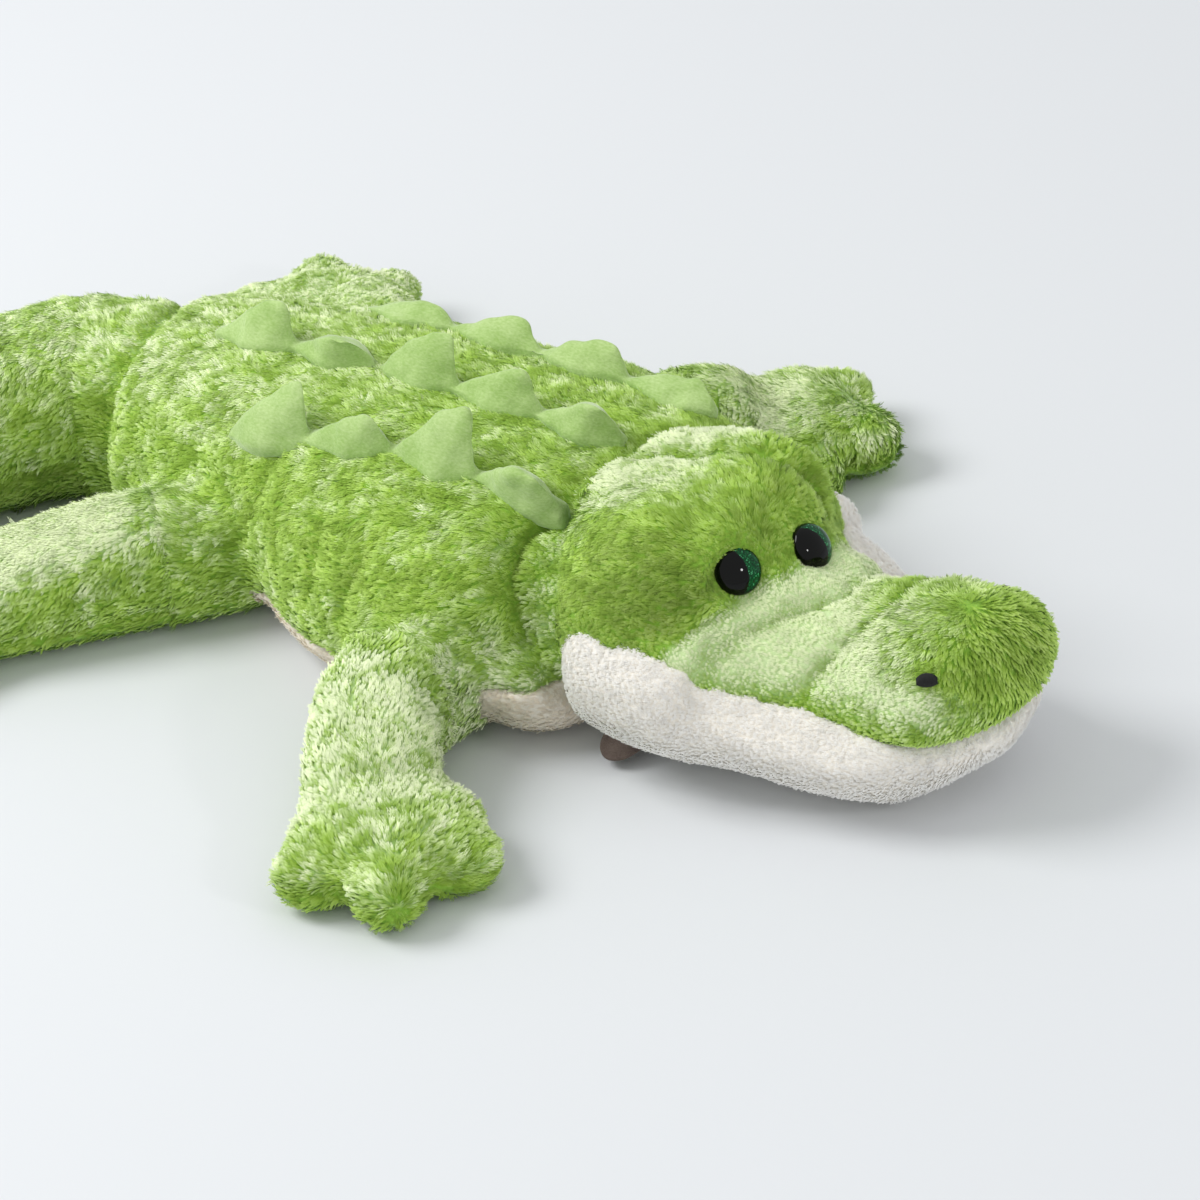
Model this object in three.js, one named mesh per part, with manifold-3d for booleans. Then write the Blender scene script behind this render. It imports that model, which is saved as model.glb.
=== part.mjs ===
// A plush crocodile that lies on its belly, in millimetres. The origin is on the floor under the middle of the
// belly, +X runs along the back towards the head, +Y is the toy's left and +Z is up.
// Each stuffed part is a plush skin in panels round its own fibre filling, sewn on at a seam that swings.
import * as THREE from 'three';
import { mergeVertices } from 'three/addons/utils/BufferGeometryUtils.js';
import Module from 'manifold-3d';

const wasm = await Module();
wasm.setup();

// Cloth, seams and cuts
const skinThickness = 5; // backing cloth with its pile
const seamGap = 0.3; // between two pieces that meet
const seatGap = 1; // between a swinging root and its seat
const seatOverswing = 2; // degrees that a seat is opened past each end of the swing
const seatReachShare = 0.6; // how far out a seat is opened, of its root's diameter
const floorPress = 0.5; // how deep a stuffed form is pressed flat on the floor
const torsoSides = 16; // facets round each form
const headSides = 14;
const jawSides = 12;
const tailSides = 12;
const legSides = 12;
const torsoRings = 7; // facets along each form between its round ends
const headRings = 11;
const jawRings = 8;
const tailRings = 7;
const legRings = 3;
const coreSides = 6; // the fillings are plainer
const bigCoreSides = 8;
const coreRings = 5;
const headCoreRings = 7;
const legCoreRings = 2;
const rootTurns = 16; // facets round a swinging root
const neckTurns = 30;
const roundRows = 3; // rings of a round end
const legRoundRows = 2;
const facetTolerance = 0.06; // slivers smaller than this are merged away
const cutReach = 700; // every cutting block is longer than the toy
const bodyPower = 2.35; // section shape of stuffed parts, 2 is an ellipse
const bellyPower = 3.2; // the torso's underside sags on the floor

// Torso, from the rump to the neck, whose end is round about the axis that the head swings on
const torsoLength = 291;
const torsoWidth = 220;
const torsoHeight = 114;
const rumpX = -166;
const torsoMiddleShare = 0.34; // height of the widest line
const torsoRumpRound = 36;
const torsoSwayShares = [0, 0, -0.01, -0.065, -0.045]; // sideways, of the width
// along, half width, height
const torsoShares = [
  [0, 0.52, 0.86],
  [0.15, 0.6, 0.93],
  [0.31, 0.68, 0.98],
  [0.5, 0.82, 1],
  [0.66, 0.94, 1],
  [0.8, 1.03, 0.99],
  [0.9, 1, 0.975],
  [1, 0.8, 0.96],
];
// Height of the seam between the green back and the cream belly
const bellySeamRear = 6;
const bellySeamFront = 34;

// Neck, a round end of the torso inside the hood
const neckX = 125;
const neckY = -10;
const neckDiameter = 176;
const neckClearance = 0.9; // between the neck and the head that turns on it
const headTurn = -15; // degrees
const headSwing = [-10, 18]; // degrees from rest
const headOverswing = 2;
const hoodReach = 4; // how far ahead of the pivot the hood stops hanging below the back

// Head, drawn straight and then turned about the neck
const headLength = 225;
const headWidth = 188;
const headHeight = 138;
const headRearU = 12; // from the neck pivot
const headRearRound = 14;
const noseRound = 34;
// along, half width, top, widest line, underside, sideways
const headShares = [
  [0, 0.76, 0.855, 0.44, 0.16, -0.03],
  [0.065, 0.79, 0.87, 0.44, 0.16, -0.035],
  [0.175, 0.82, 0.895, 0.45, 0.15, -0.045],
  [0.285, 0.79, 0.9, 0.45, 0.15, -0.052],
  [0.39, 0.69, 0.85, 0.42, 0.16, -0.045],
  [0.445, 0.635, 0.74, 0.37, 0.18, -0.03],
  [0.5, 0.585, 0.675, 0.34, 0.2, -0.012],
  [0.575, 0.54, 0.645, 0.33, 0.21, 0.015],
  [0.65, 0.5, 0.64, 0.33, 0.22, 0.04],
  [0.715, 0.52, 0.675, 0.35, 0.25, 0.066],
  [0.795, 0.55, 0.685, 0.38, 0.28, 0.1],
  [0.89, 0.56, 0.685, 0.4, 0.3, 0.132],
  [1, 0.53, 0.665, 0.41, 0.31, 0.152],
];
const browLength = 80;
const browWidth = 76;
const browHeight = 74;
const browU = 70;
const browV = 27;
const browZ = 91;
const browSwayShare = -0.05; // sideways, of the head's width
const browTurns = 10; // facets round and from pole to pole
const browRows = 6;
const faceSeamU = 117; // seam between crown and snout on the mid line
const faceSeamZ = 95;
const faceSeamLean = 38; // degrees the seam leans forward as it rises

// Lower jaw, a flat pad with a rim that rises at its rear corners
const jawLength = 182;
const jawWidth = 184;
const jawRearU = 46;
const jawRearRound = 24;
const jawTipRound = 46;
const jawRimFront = 57;
const jawRimRear = 94;
// along, half width, rim height between front and rear, underside, sideways
const jawShares = [
  [0, 0.84, 0.86, 0.2, -0.03],
  [0.1, 0.94, 1, 0.12, -0.04],
  [0.23, 0.92, 0.9, 0.04, -0.04],
  [0.35, 0.84, 0.56, 0, -0.015],
  [0.47, 0.78, 0.26, 0, 0.005],
  [0.63, 0.71, 0.06, 0, 0.045],
  [0.8, 0.645, 0, 0.01, 0.12],
  [1, 0.59, 0, 0.11, 0.175],
];

// Eyes, glassy domes on a painted backing with a stem and a locking washer
const eyeDiameter = 22;
const eyeDomeHeight = 7;
const eyeDomeEdge = 1.2;
const eyeFacets = 14;
const domeRows = 4;
const eyeBackThickness = 3;
const eyeU = 113;
const eyeV = 20;
const eyeZ = 95;
const eyeSlip = 2; // how much further ahead the left eye sits, and the right one back
const eyeFall = 3; // and how much lower
const eyeSwayShare = -0.035;
const eyeOutTurn = 16; // degrees away from the mid line
const eyeUpTilt = 34; // degrees above level
const stemDiameter = 5;
const stemLength = 16;
const stemFit = 0.05;
const washerDiameter = 18;
const washerThickness = 2;

// Nostrils, pads of black embroidery on either side of the nose, whose middle line has turned with the snout's bend
const noseU = 190;
const noseV = 18;
const noseTurn = 17;
const nostrilLength = 15;
const nostrilWidth = 9;
const nostrilThickness = 8;
const nostrilAhead = 18;
const nostrilAside = 40.5;
const nostrilZ = 81;
const nostrilTurn = 30;
const nostrilTurns = 10; // facets round and from pole to pole
const nostrilRows = 5;

// Tail, from its swinging root inside the rump
const tailPivotX = -146;
const tailRootDiameter = 88;
const tailRootHeight = 98;
const tailTipRound = 24;
const tailSwing = [-18, 8];
const tailSeamZ = 32;
const tailReach = 250;
// route of the tail's middle line, as shares of its reach: backwards, sideways
const tailRouteShares = [
  [0, 0],
  [0.12, -0.01],
  [0.24, -0.07],
  [0.35, -0.19],
  [0.46, -0.33],
  [0.6, -0.45],
  [0.78, -0.53],
  [1, -0.57],
];
// along, half width, height, of the root's
const tailShares = [
  [0, 1, 1],
  [0.2, 1.02, 0.96],
  [0.4, 0.96, 0.86],
  [0.65, 0.76, 0.64],
  [0.85, 0.54, 0.45],
  [1, 0.42, 0.36],
];

// Legs and paws
const legRootDiameter = 66;
const legRootHeight = 66;
const legSeamZ = 15;
const legEndRound = 20;
// along, half width, height, of the root's
const legShares = [
  [0, 1, 1],
  [0.35, 0.95, 1],
  [0.7, 1.02, 0.86],
  [1, 1.1, 0.62],
];
const pawLength = 80;
const pawWidth = 92;
const pawHeight = 44;
const toeLength = 52;
const toeWidth = 42;
const toeHeight = 36;
const toeReach = 32; // from the middle of the paw to the middle of a toe
const toeFan = 62; // degrees between toes
const pawTurns = 9; // facets round a paw and a toe, and from pole to pole
const toeTurns = 7;
const pawRows = 4;
// pivot, route from it forwards and outwards, direction of the middle toe out from forwards, swing, both in degrees
const legs = [
  {
    name: 'front_right',
    side: -1,
    pivot: [84, 104],
    route: [[-2, 42], [18, 82], [44, 110]],
    toes: 54,
    swing: [-18, 18],
  },
  {
    name: 'front_left',
    side: 1,
    pivot: [76, 76],
    route: [[6, 28], [20, 52], [37, 68]],
    toes: 20,
    swing: [-18, 18],
  },
  {
    name: 'rear_right',
    side: -1,
    pivot: [-66, 66],
    route: [[-28, 30], [-64, 64], [-104, 98]],
    toes: 122,
    swing: [-8, 18],
  },
  {
    name: 'rear_left',
    side: 1,
    pivot: [-76, 62],
    route: [[-19, 31], [-44, 55], [-78, 69]],
    toes: 126,
    swing: [-18, 18],
  },
];

// Scute strips, soft cloth fins sewn along the back
const scutePitch = 46.5;
const scuteWidth = 27;
const scuteHeight = 17;
const stripWidth = 7;
const stripThickness = 2.2;
const stripSink = 4; // how far a strip's underside starts inside the back before it is trimmed
const scuteRings = 5;
const crestShare = 0.16; // width of a fin's crest
const scutePeakShare = 0.62; // where along a scute its peak stands
const scuteSpread = 1.3; // power of its outline, over 1 draws in its ends
const scuteRise = 1.6; // power of its slope, over 1 hollows it
const sideLeanShare = 0.5; // how far a side strip leans out, of the slope it is sewn on
const sideFallShare = 0.7;
const centreScutes = 5;
const sideScutes = 4;
const centreStripX = -98;
const sideStripX = -61;
const sideStripY = 51;
const stripsY = -9;

// Sewn-in tag under the chin
const tagWidth = 22;
const tagLength = 32;
const tagThickness = 1.6;
const tagU = 68;
const tagV = -65;
const tagZ = 9;
const tagTilt = 12; // degrees, falling outwards
const tagTurn = -75;
const tagFacets = 20;

const plush = (colour) => new THREE.MeshStandardMaterial({ color: colour, roughness: 0.95, metalness: 0 });
const greenPlush = plush(0x8fc24f);
const darkerPlush = plush(0x7fb245);
const creamPlush = plush(0xe9dfcd);
const scuteCloth = plush(0x93b862);
const fibre = plush(0xf4f4f1);
const blackThread = plush(0x111111);
const brownFelt = plush(0x77675c);
const clearPlastic = new THREE.MeshStandardMaterial({ color: 0xdfeee6, roughness: 0.05, metalness: 0 });
const paintedPlastic = new THREE.MeshStandardMaterial({ color: 0x0d6b3c, roughness: 0.3, metalness: 0.2 });
const washerPlastic = new THREE.MeshStandardMaterial({ color: 0xdddddd, roughness: 0.5, metalness: 0 });

const turned = (degrees) => THREE.MathUtils.degToRad(degrees);

// A closed three.js geometry as a solid that can be cut and joined
function solidOf(geometry) {
  const bare = geometry.clone();
  bare.deleteAttribute('normal');
  bare.deleteAttribute('uv');
  const merged = mergeVertices(bare, 1e-4);
  return new wasm.Manifold(
    new wasm.Mesh({
      numProp: 3,
      vertProperties: new Float32Array(merged.attributes.position.array),
      triVerts: new Uint32Array(merged.index.array),
    }),
  );
}

function geometryOf(solid) {
  const mesh = solid.getMesh();
  const geometry = new THREE.BufferGeometry();
  geometry.setAttribute('position', new THREE.BufferAttribute(new Float32Array(mesh.vertProperties), 3));
  geometry.setIndex(new THREE.BufferAttribute(new Uint32Array(mesh.triVerts), 1));
  geometry.computeVertexNormals();
  return geometry;
}

function ellipsoid(length, width, height, turns, rows) {
  return new THREE.SphereGeometry(0.5, turns, rows).rotateX(Math.PI / 2).scale(length, width, height);
}

function block(length, width, height) {
  return new THREE.BoxGeometry(length, width, height);
}

// Smooth interpolation of one column of a table whose first column runs from 0 to 1
function shareAt(table, t, column) {
  const last = table.length - 1;
  let i = 0;
  while (i < last - 1 && t > table[i + 1][0]) i += 1;
  const before = table[Math.max(i - 1, 0)];
  const a = table[i];
  const b = table[i + 1];
  const after = table[Math.min(i + 2, last)];
  const step = b[0] - a[0];
  const k = THREE.MathUtils.clamp((t - a[0]) / step, 0, 1);
  const slopeA = (b[column] - before[column]) / (b[0] - before[0] || step);
  const slopeB = (after[column] - a[column]) / (after[0] - a[0]);
  const rise = b[column] - a[column];
  const k2 = k * k;
  const k3 = k2 * k;
  return a[column] + rise * (3 * k2 - 2 * k3) + slopeA * step * (k3 - 2 * k2 + k) + slopeB * step * (k3 - k2);
}

// Places along a stuffed form, 0 to its length, closer together where its ends are rounded. Each has its scale and
// how far its skin faces along the spine, from -1 at the start to 1 at the end.
function ringPlaces(length, startRound, endRound, rings, roundRings) {
  const rounded = (i, round) => {
    const angle = (Math.PI / 2) * (i / roundRings);
    return { depth: round * (1 - Math.cos(angle)), scale: Math.sin(angle), facing: Math.cos(angle) };
  };
  const places = [];
  if (!startRound) places.push({ at: 0, scale: 1, facing: -1 });
  for (let i = 1; startRound && i <= roundRings; i += 1) {
    const { depth, scale, facing } = rounded(i, startRound);
    places.push({ at: depth, scale, facing: -facing });
  }
  for (let i = 1; i < rings; i += 1) {
    places.push({ at: THREE.MathUtils.lerp(startRound, length - endRound, i / rings), scale: 1, facing: 0 });
  }
  for (let i = roundRings; endRound && i >= 1; i -= 1) {
    const { depth, scale, facing } = rounded(i, endRound);
    places.push({ at: length - depth, scale, facing });
  }
  if (!endRound) places.push({ at: length, scale: 1, facing: 1 });
  return places;
}

// A closed skin through upright sections along a spine. sectionAt gives half width, up and down at a share of the
// length, inset shrinks the form all round, and a round end closes on a pole.
function stuffedForm({
  spine,
  sectionAt,
  sides,
  rings,
  inset,
  roundRings = roundRows,
  startRound = 0,
  endRound = 0,
  underPower = bodyPower,
}) {
  const length = spine.getLength();
  const places = ringPlaces(length, startRound, endRound, rings, roundRings);
  const points = [];
  const push = (vector) => points.push(vector.x, vector.y, vector.z);
  const up = new THREE.Vector3(0, 0, 1);
  const centreAt = (t, facing) => spine.getPointAt(t).addScaledVector(spine.getTangentAt(t), -inset * facing);
  push(centreAt(0, -1));
  places.forEach(({ at, scale, facing }) => {
    const t = THREE.MathUtils.clamp(at / length, 0, 1);
    const across = new THREE.Vector3().crossVectors(up, spine.getTangentAt(t)).normalize();
    const section = sectionAt(t);
    sectionCorners(sides, underPower).forEach(([wide, high]) => {
      const rise = high * ((high > 0 ? section.up : section.down) - inset);
      push(
        centreAt(t, facing)
          .addScaledVector(across, wide * (section.half - inset) * scale)
          .addScaledVector(up, rise * scale),
      );
    });
  });
  push(centreAt(1, 1));
  const index = [];
  const ring = (row, i) => 1 + row * sides + (i % sides);
  const tip = 1 + places.length * sides;
  for (let i = 0; i < sides; i += 1) {
    index.push(0, ring(0, i + 1), ring(0, i));
    for (let row = 0; row + 1 < places.length; row += 1) {
      index.push(ring(row, i), ring(row, i + 1), ring(row + 1, i));
      index.push(ring(row, i + 1), ring(row + 1, i + 1), ring(row + 1, i));
    }
    index.push(tip, ring(places.length - 1, i), ring(places.length - 1, i + 1));
  }
  const geometry = new THREE.BufferGeometry();
  geometry.setAttribute('position', new THREE.Float32BufferAttribute(points, 3));
  geometry.setIndex(index);
  const solid = solidOf(geometry);
  return solid.volume() < 0 ? solidOf(reversed(geometry)) : solid;
}

function reversed(geometry) {
  const turnedRound = geometry.clone();
  const index = Array.from(geometry.index.array);
  for (let i = 0; i < index.length; i += 3) [index[i], index[i + 1]] = [index[i + 1], index[i]];
  turnedRound.setIndex(index);
  return turnedRound;
}

// Blocks that keep what is above or below a level, or in front of or behind a plane
const aboveFloor = solidOf(block(cutReach * 2, cutReach * 2, cutReach).translate(0, 0, cutReach / 2));
const slab = (level) => solidOf(block(cutReach * 2, cutReach * 2, cutReach).translate(0, 0, level - cutReach / 2));
const halfGap = seamGap / 2;

function panelsAt(shell, level) {
  return {
    upper: shell.subtract(slab(level + halfGap)),
    lower: shell.intersect(slab(level - halfGap)),
  };
}

function joined(solids) {
  return solids.reduce((all, next) => all.add(next));
}

const turnedAbout = (solid, x, y, degrees) => solid.translate([-x, -y, 0]).rotate([0, 0, degrees]).translate([x, y, 0]);

// Corners of a section with the given number of sides, from its right-hand side round over its top
function sectionCorners(sides, underPower = bodyPower) {
  return Array.from({ length: sides }, (_, i) => {
    const angle = (2 * Math.PI * (i + 0.5)) / sides;
    const [c, s] = [Math.cos(angle), Math.sin(angle)];
    const power = s > 0 ? bodyPower : underPower;
    return [Math.sign(c) * Math.abs(c) ** (2 / power), Math.sign(s) * Math.abs(s) ** (2 / power)];
  });
}

// A root that swings in its seat: the same section as the part that grows from it, turned about an upright axis
function swingRoot(diameter, up, down, turns, sides, underPower) {
  const half = sectionCorners(sides, underPower).filter(([across]) => across > 0);
  const profile = half
    .sort((a, b) => a[1] - b[1])
    .map(([across, rise]) => new THREE.Vector2((across * diameter) / 2, rise * (rise > 0 ? up : down)));
  const foot = new THREE.Vector2(0, profile[0].y);
  const top = new THREE.Vector2(0, profile.at(-1).y);
  return new THREE.LatheGeometry([foot, ...profile, top], turns).rotateX(Math.PI / 2);
}

// Torso
const torsoRows = torsoSwayShares.length - 1;
const torsoSpine = new THREE.CatmullRomCurve3(
  torsoSwayShares.map(
    (share, i) =>
      new THREE.Vector3(rumpX + (torsoLength * i) / torsoRows, share * torsoWidth, torsoHeight * torsoMiddleShare),
  ),
);
const neckHeight = torsoHeight * torsoShares.at(-1)[2];
const torsoMiddle = torsoHeight * torsoMiddleShare;
function neckDome(inset, turns, sides) {
  const [up, down] = [neckHeight - torsoMiddle - inset, torsoMiddle + floorPress - inset];
  const dome = swingRoot(neckDiameter - 2 * inset, up, down, turns, sides, bellyPower);
  return solidOf(dome.translate(neckX, neckY, torsoMiddle));
}
function torsoForm(inset, sides, rings) {
  const back = stuffedForm({
    spine: torsoSpine,
    sectionAt: (t) => ({
      half: shareAt(torsoShares, t, 1) * torsoWidth / 2,
      up: (shareAt(torsoShares, t, 2) - torsoMiddleShare) * torsoHeight,
      down: torsoMiddleShare * torsoHeight + floorPress,
    }),
    sides,
    rings,
    startRound: torsoRumpRound,
    underPower: bellyPower,
    inset,
  });
  return back.add(neckDome(inset, neckTurns, sides));
}

// Legs
function legRoute({ side, pivot: [x, y], route }) {
  return [[0, 0], ...route].map(([forward, outward], i) => {
    const share = i / route.length;
    const height = shareAt(legShares, share, 2) * legRootHeight;
    return new THREE.Vector3(x + forward, side * (y + outward), height / 2);
  });
}
const legSpine = (leg) => new THREE.CatmullRomCurve3(legRoute(leg));
function legRoot({ side, pivot: [x, y] }, inset) {
  const middle = legRootHeight / 2;
  const root = swingRoot(legRootDiameter - 2 * inset, middle - inset, middle + floorPress - inset, rootTurns, legSides);
  return solidOf(root.translate(x, side * y, middle));
}
function legForm(leg, inset, sides, rings) {
  const spine = legSpine(leg);
  return stuffedForm({
    spine,
    sectionAt: (t) => ({
      half: shareAt(legShares, t, 1) * legRootDiameter / 2,
      up: shareAt(legShares, t, 2) * legRootHeight - spine.getPointAt(t).z,
      down: spine.getPointAt(t).z + floorPress,
    }),
    sides,
    rings,
    roundRings: legRoundRows,
    endRound: legEndRound,
    inset,
  });
}
function paw(leg) {
  const end = legRoute(leg).at(-1);
  return solidOf(
    ellipsoid(pawLength, pawWidth, pawHeight, pawTurns, pawRows)
      .rotateZ(turned(leg.side * leg.toes))
      .translate(end.x, end.y, pawHeight / 2 - floorPress),
  );
}
function toes(leg) {
  const end = legRoute(leg).at(-1);
  return [-1, 0, 1].map((place) => {
    const heading = turned(leg.side * (leg.toes + place * toeFan));
    return solidOf(
      ellipsoid(toeLength, toeWidth, toeHeight, toeTurns, pawRows)
        .translate(toeReach, 0, toeHeight / 2 - floorPress)
        .rotateZ(heading)
        .translate(end.x, end.y, 0),
    );
  });
}

// Tail
const tailHeightAt = (share) => shareAt(tailShares, share, 2) * tailRootHeight;
const tailSpine = new THREE.CatmullRomCurve3(
  tailRouteShares.map(([back, aside], i) => {
    const share = i / (tailRouteShares.length - 1);
    return new THREE.Vector3(tailPivotX - back * tailReach, aside * tailReach, tailHeightAt(share) / 2);
  }),
);
function tailRoot(inset) {
  const middle = tailRootHeight / 2;
  const root = swingRoot(tailRootDiameter - 2 * inset, middle - inset, middle + floorPress - inset, rootTurns, tailSides);
  return solidOf(root.translate(tailPivotX, 0, middle));
}
function tailForm(inset, sides, rings) {
  return stuffedForm({
    spine: tailSpine,
    sectionAt: (t) => ({
      half: shareAt(tailShares, t, 1) * tailRootDiameter / 2,
      up: tailHeightAt(t) - tailSpine.getPointAt(t).z,
      down: tailSpine.getPointAt(t).z + floorPress,
    }),
    sides,
    rings,
    endRound: tailTipRound,
    inset,
  });
}

// Head, in its own straight frame with the neck pivot at its origin
const headSpine = new THREE.CatmullRomCurve3(
  headShares.map((row) => new THREE.Vector3(headRearU + row[0] * headLength, row[5] * headWidth, row[3] * headHeight)),
);
function headForm(inset, sides, rings) {
  return stuffedForm({
    spine: headSpine,
    sectionAt: (t) => {
      const middle = headSpine.getPointAt(t).z;
      return {
        half: shareAt(headShares, t, 1) * headWidth / 2,
        up: shareAt(headShares, t, 2) * headHeight - middle,
        down: middle - shareAt(headShares, t, 4) * headHeight,
      };
    },
    sides,
    rings,
    startRound: headRearRound,
    endRound: noseRound,
    inset,
  });
}
const brows = [-1, 1].map((side) =>
  solidOf(
    ellipsoid(browLength, browWidth, browHeight, browTurns, browRows)
      .translate(browU, side * browV + browSwayShare * headWidth, browZ),
  ),
);
const jawRimAt = (share) => THREE.MathUtils.lerp(jawRimFront, jawRimRear, share);
const jawSpine = new THREE.CatmullRomCurve3(
  jawShares.map(
    (row) =>
      new THREE.Vector3(jawRearU + row[0] * jawLength, row[4] * jawWidth, (jawRimAt(row[2]) + row[3] * jawRimRear) / 2),
  ),
);
function jawForm(inset, sides, rings) {
  return stuffedForm({
    spine: jawSpine,
    sectionAt: (t) => {
      const middle = jawSpine.getPointAt(t).z;
      return {
        half: shareAt(jawShares, t, 1) * jawWidth / 2,
        up: jawRimAt(shareAt(jawShares, t, 2)) - middle,
        down: middle - shareAt(jawShares, t, 3) * jawRimRear + floorPress,
      };
    },
    sides,
    rings,
    startRound: jawRearRound,
    endRound: jawTipRound,
    inset,
  });
}

// Bodies as groups, so that each swings about its own pivot
const crocodile = new THREE.Group();
const headGroup = new THREE.Group();
headGroup.position.set(neckX, neckY, 0);
headGroup.rotation.z = turned(headTurn);
crocodile.add(headGroup);

function addPiece(name, solid, material, group = crocodile) {
  const mesh = new THREE.Mesh(geometryOf(solid.simplify(facetTolerance)), material);
  mesh.name = name;
  group.add(mesh);
}

// The torso's seats for the legs and the tail. A seat is wrapped round the grown root and the same section a little
// way out, at both ends of the swing.
function seatFor(root, spine, pivotY, swing, reach) {
  const start = spine.getPointAt(0);
  const out = spine.getPointAt(reach / spine.getLength()).sub(start);
  const section = root.translate(out.x, out.y, 0);
  const ends = [swing[0] - seatOverswing, swing[1] + seatOverswing];
  return joined([root, ...ends.map((angle) => turnedAbout(section, start.x, pivotY, angle))]).hull();
}
const seats = joined([
  ...legs.map((leg) =>
    seatFor(legRoot(leg, -seatGap), legSpine(leg), leg.side * leg.pivot[1], leg.swing, legRootDiameter * seatReachShare),
  ),
  seatFor(tailRoot(-seatGap), tailSpine, 0, tailSwing, tailRootDiameter * seatReachShare),
]);

const torsoCore = (inset) => torsoForm(inset, bigCoreSides, coreRings);
const torsoShell = torsoForm(0, torsoSides, torsoRings)
  .intersect(aboveFloor)
  .subtract(torsoCore(skinThickness))
  .subtract(seats);
const bellyLean = Math.atan2(bellySeamFront - bellySeamRear, torsoLength);
const bellyBlock = (gap) =>
  solidOf(
    block(cutReach * 2, cutReach * 2, cutReach)
      .translate(0, 0, -cutReach / 2 + gap)
      .rotateY(-bellyLean)
      .translate(0, 0, (bellySeamRear + bellySeamFront) / 2),
  );
addPiece('torso_skin', torsoShell.subtract(bellyBlock(halfGap)), greenPlush);
addPiece('belly_panel', torsoShell.intersect(bellyBlock(-halfGap)), creamPlush);
addPiece('torso_filling', torsoCore(skinThickness + seamGap).subtract(seats), fibre);

legs.forEach((leg) => {
  const form = legForm(leg, 0, legSides, legRings);
  const outer = joined([legRoot(leg, 0), form, paw(leg), ...toes(leg)]).intersect(aboveFloor);
  const core = (inset) =>
    legForm(leg, inset, coreSides, legCoreRings).subtract(slab(legSeamZ + halfGap + inset - skinThickness));
  const panels = panelsAt(outer, legSeamZ);
  addPiece('leg_top_' + leg.name, panels.upper.subtract(core(skinThickness)), greenPlush);
  addPiece('leg_sole_' + leg.name, panels.lower, darkerPlush);
  addPiece('leg_filling_' + leg.name, core(skinThickness + seamGap), fibre);
});

const tailCore = (inset) => tailForm(inset, coreSides, coreRings);
const tailOuter = tailForm(0, tailSides, tailRings).add(tailRoot(0)).intersect(aboveFloor);
const tailPanels = panelsAt(tailOuter.subtract(tailCore(skinThickness)), tailSeamZ);
addPiece('tail_top', tailPanels.upper, greenPlush);
addPiece('tail_underside', tailPanels.lower, darkerPlush);
addPiece('tail_filling', tailCore(skinThickness + seamGap), fibre);

// The torso's neck end and the back behind it, cut out of every head piece at both ends of the head's swing
const backTop = torsoHeight * torsoShares[6][2] + neckClearance;
const backCutters = [headSwing[0] - headOverswing, headSwing[1] + headOverswing].map((swing) =>
  solidOf(
    block(cutReach, cutReach, 2 * backTop)
      .translate(hoodReach - cutReach / 2, 0, 0)
      .rotateZ(turned(-headTurn - swing)),
  ),
);
const neckCutter = neckDome(-neckClearance, neckTurns, torsoSides)
  .translate([-neckX, -neckY, 0])
  .add(joined(backCutters));

// Frame of one eye: its own +Z leaves the head through the middle of the dome
function eyePlaced(solid, side) {
  return solid
    .rotate([0, 90 - eyeUpTilt, 0])
    .rotate([0, 0, side * eyeOutTurn])
    .translate([eyeU + side * eyeSlip, side * eyeV + eyeSwayShare * headWidth, eyeZ - side * eyeFall]);
}
function turnedSolid(profile) {
  return solidOf(
    new THREE.LatheGeometry(profile.map(([radius, height]) => new THREE.Vector2(radius, height)), eyeFacets)
      .rotateX(Math.PI / 2),
  );
}
const washerZ = -eyeBackThickness - skinThickness;
function eyePocket(side) {
  const stem = stemDiameter / 2 + seamGap;
  const washer = washerDiameter / 2 + seamGap;
  const cup = eyeDiameter / 2 + seamGap;
  const profile = [
    [0, -stemLength - seamGap],
    [stem, -stemLength - seamGap],
    [stem, washerZ - washerThickness - seamGap],
    [washer, washerZ - washerThickness - seamGap],
    [washer, washerZ + seamGap],
    [stem, washerZ + seamGap],
    [stem, -eyeBackThickness - seamGap],
    [cup, -eyeBackThickness - seamGap],
    [cup, eyeDiameter],
    [0, eyeDiameter],
  ];
  return eyePlaced(turnedSolid(profile), side);
}

const nostrilPad = (side, grow = 0) =>
  solidOf(
    ellipsoid(nostrilLength + 2 * grow, nostrilWidth + 2 * grow, nostrilThickness + 2 * grow, nostrilTurns, nostrilRows)
      .rotateZ(turned(-side * nostrilTurn))
      .translate(nostrilAhead, side * nostrilAside, nostrilZ)
      .rotateZ(turned(noseTurn))
      .translate(noseU, noseV, 0),
  );

const cuts = joined([neckCutter, eyePocket(-1), eyePocket(1), nostrilPad(-1, seamGap), nostrilPad(1, seamGap)]);
const headCore = (inset) => headForm(inset, bigCoreSides, headCoreRings);
const headShell = headForm(0, headSides, headRings)
  .add(joined(brows))
  .subtract(headCore(skinThickness))
  .subtract(cuts);
const snoutBlock = (gap) =>
  solidOf(
    block(cutReach, cutReach, cutReach * 2)
      .translate(cutReach / 2 + gap, 0, 0)
      .rotateY(turned(faceSeamLean))
      .translate(faceSeamU, 0, faceSeamZ),
  );
addPiece('head_crown', headShell.subtract(snoutBlock(-halfGap)), greenPlush, headGroup);
addPiece('snout', headShell.intersect(snoutBlock(halfGap)), greenPlush, headGroup);
addPiece('head_filling', headCore(skinThickness + seamGap).subtract(cuts), fibre, headGroup);

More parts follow.
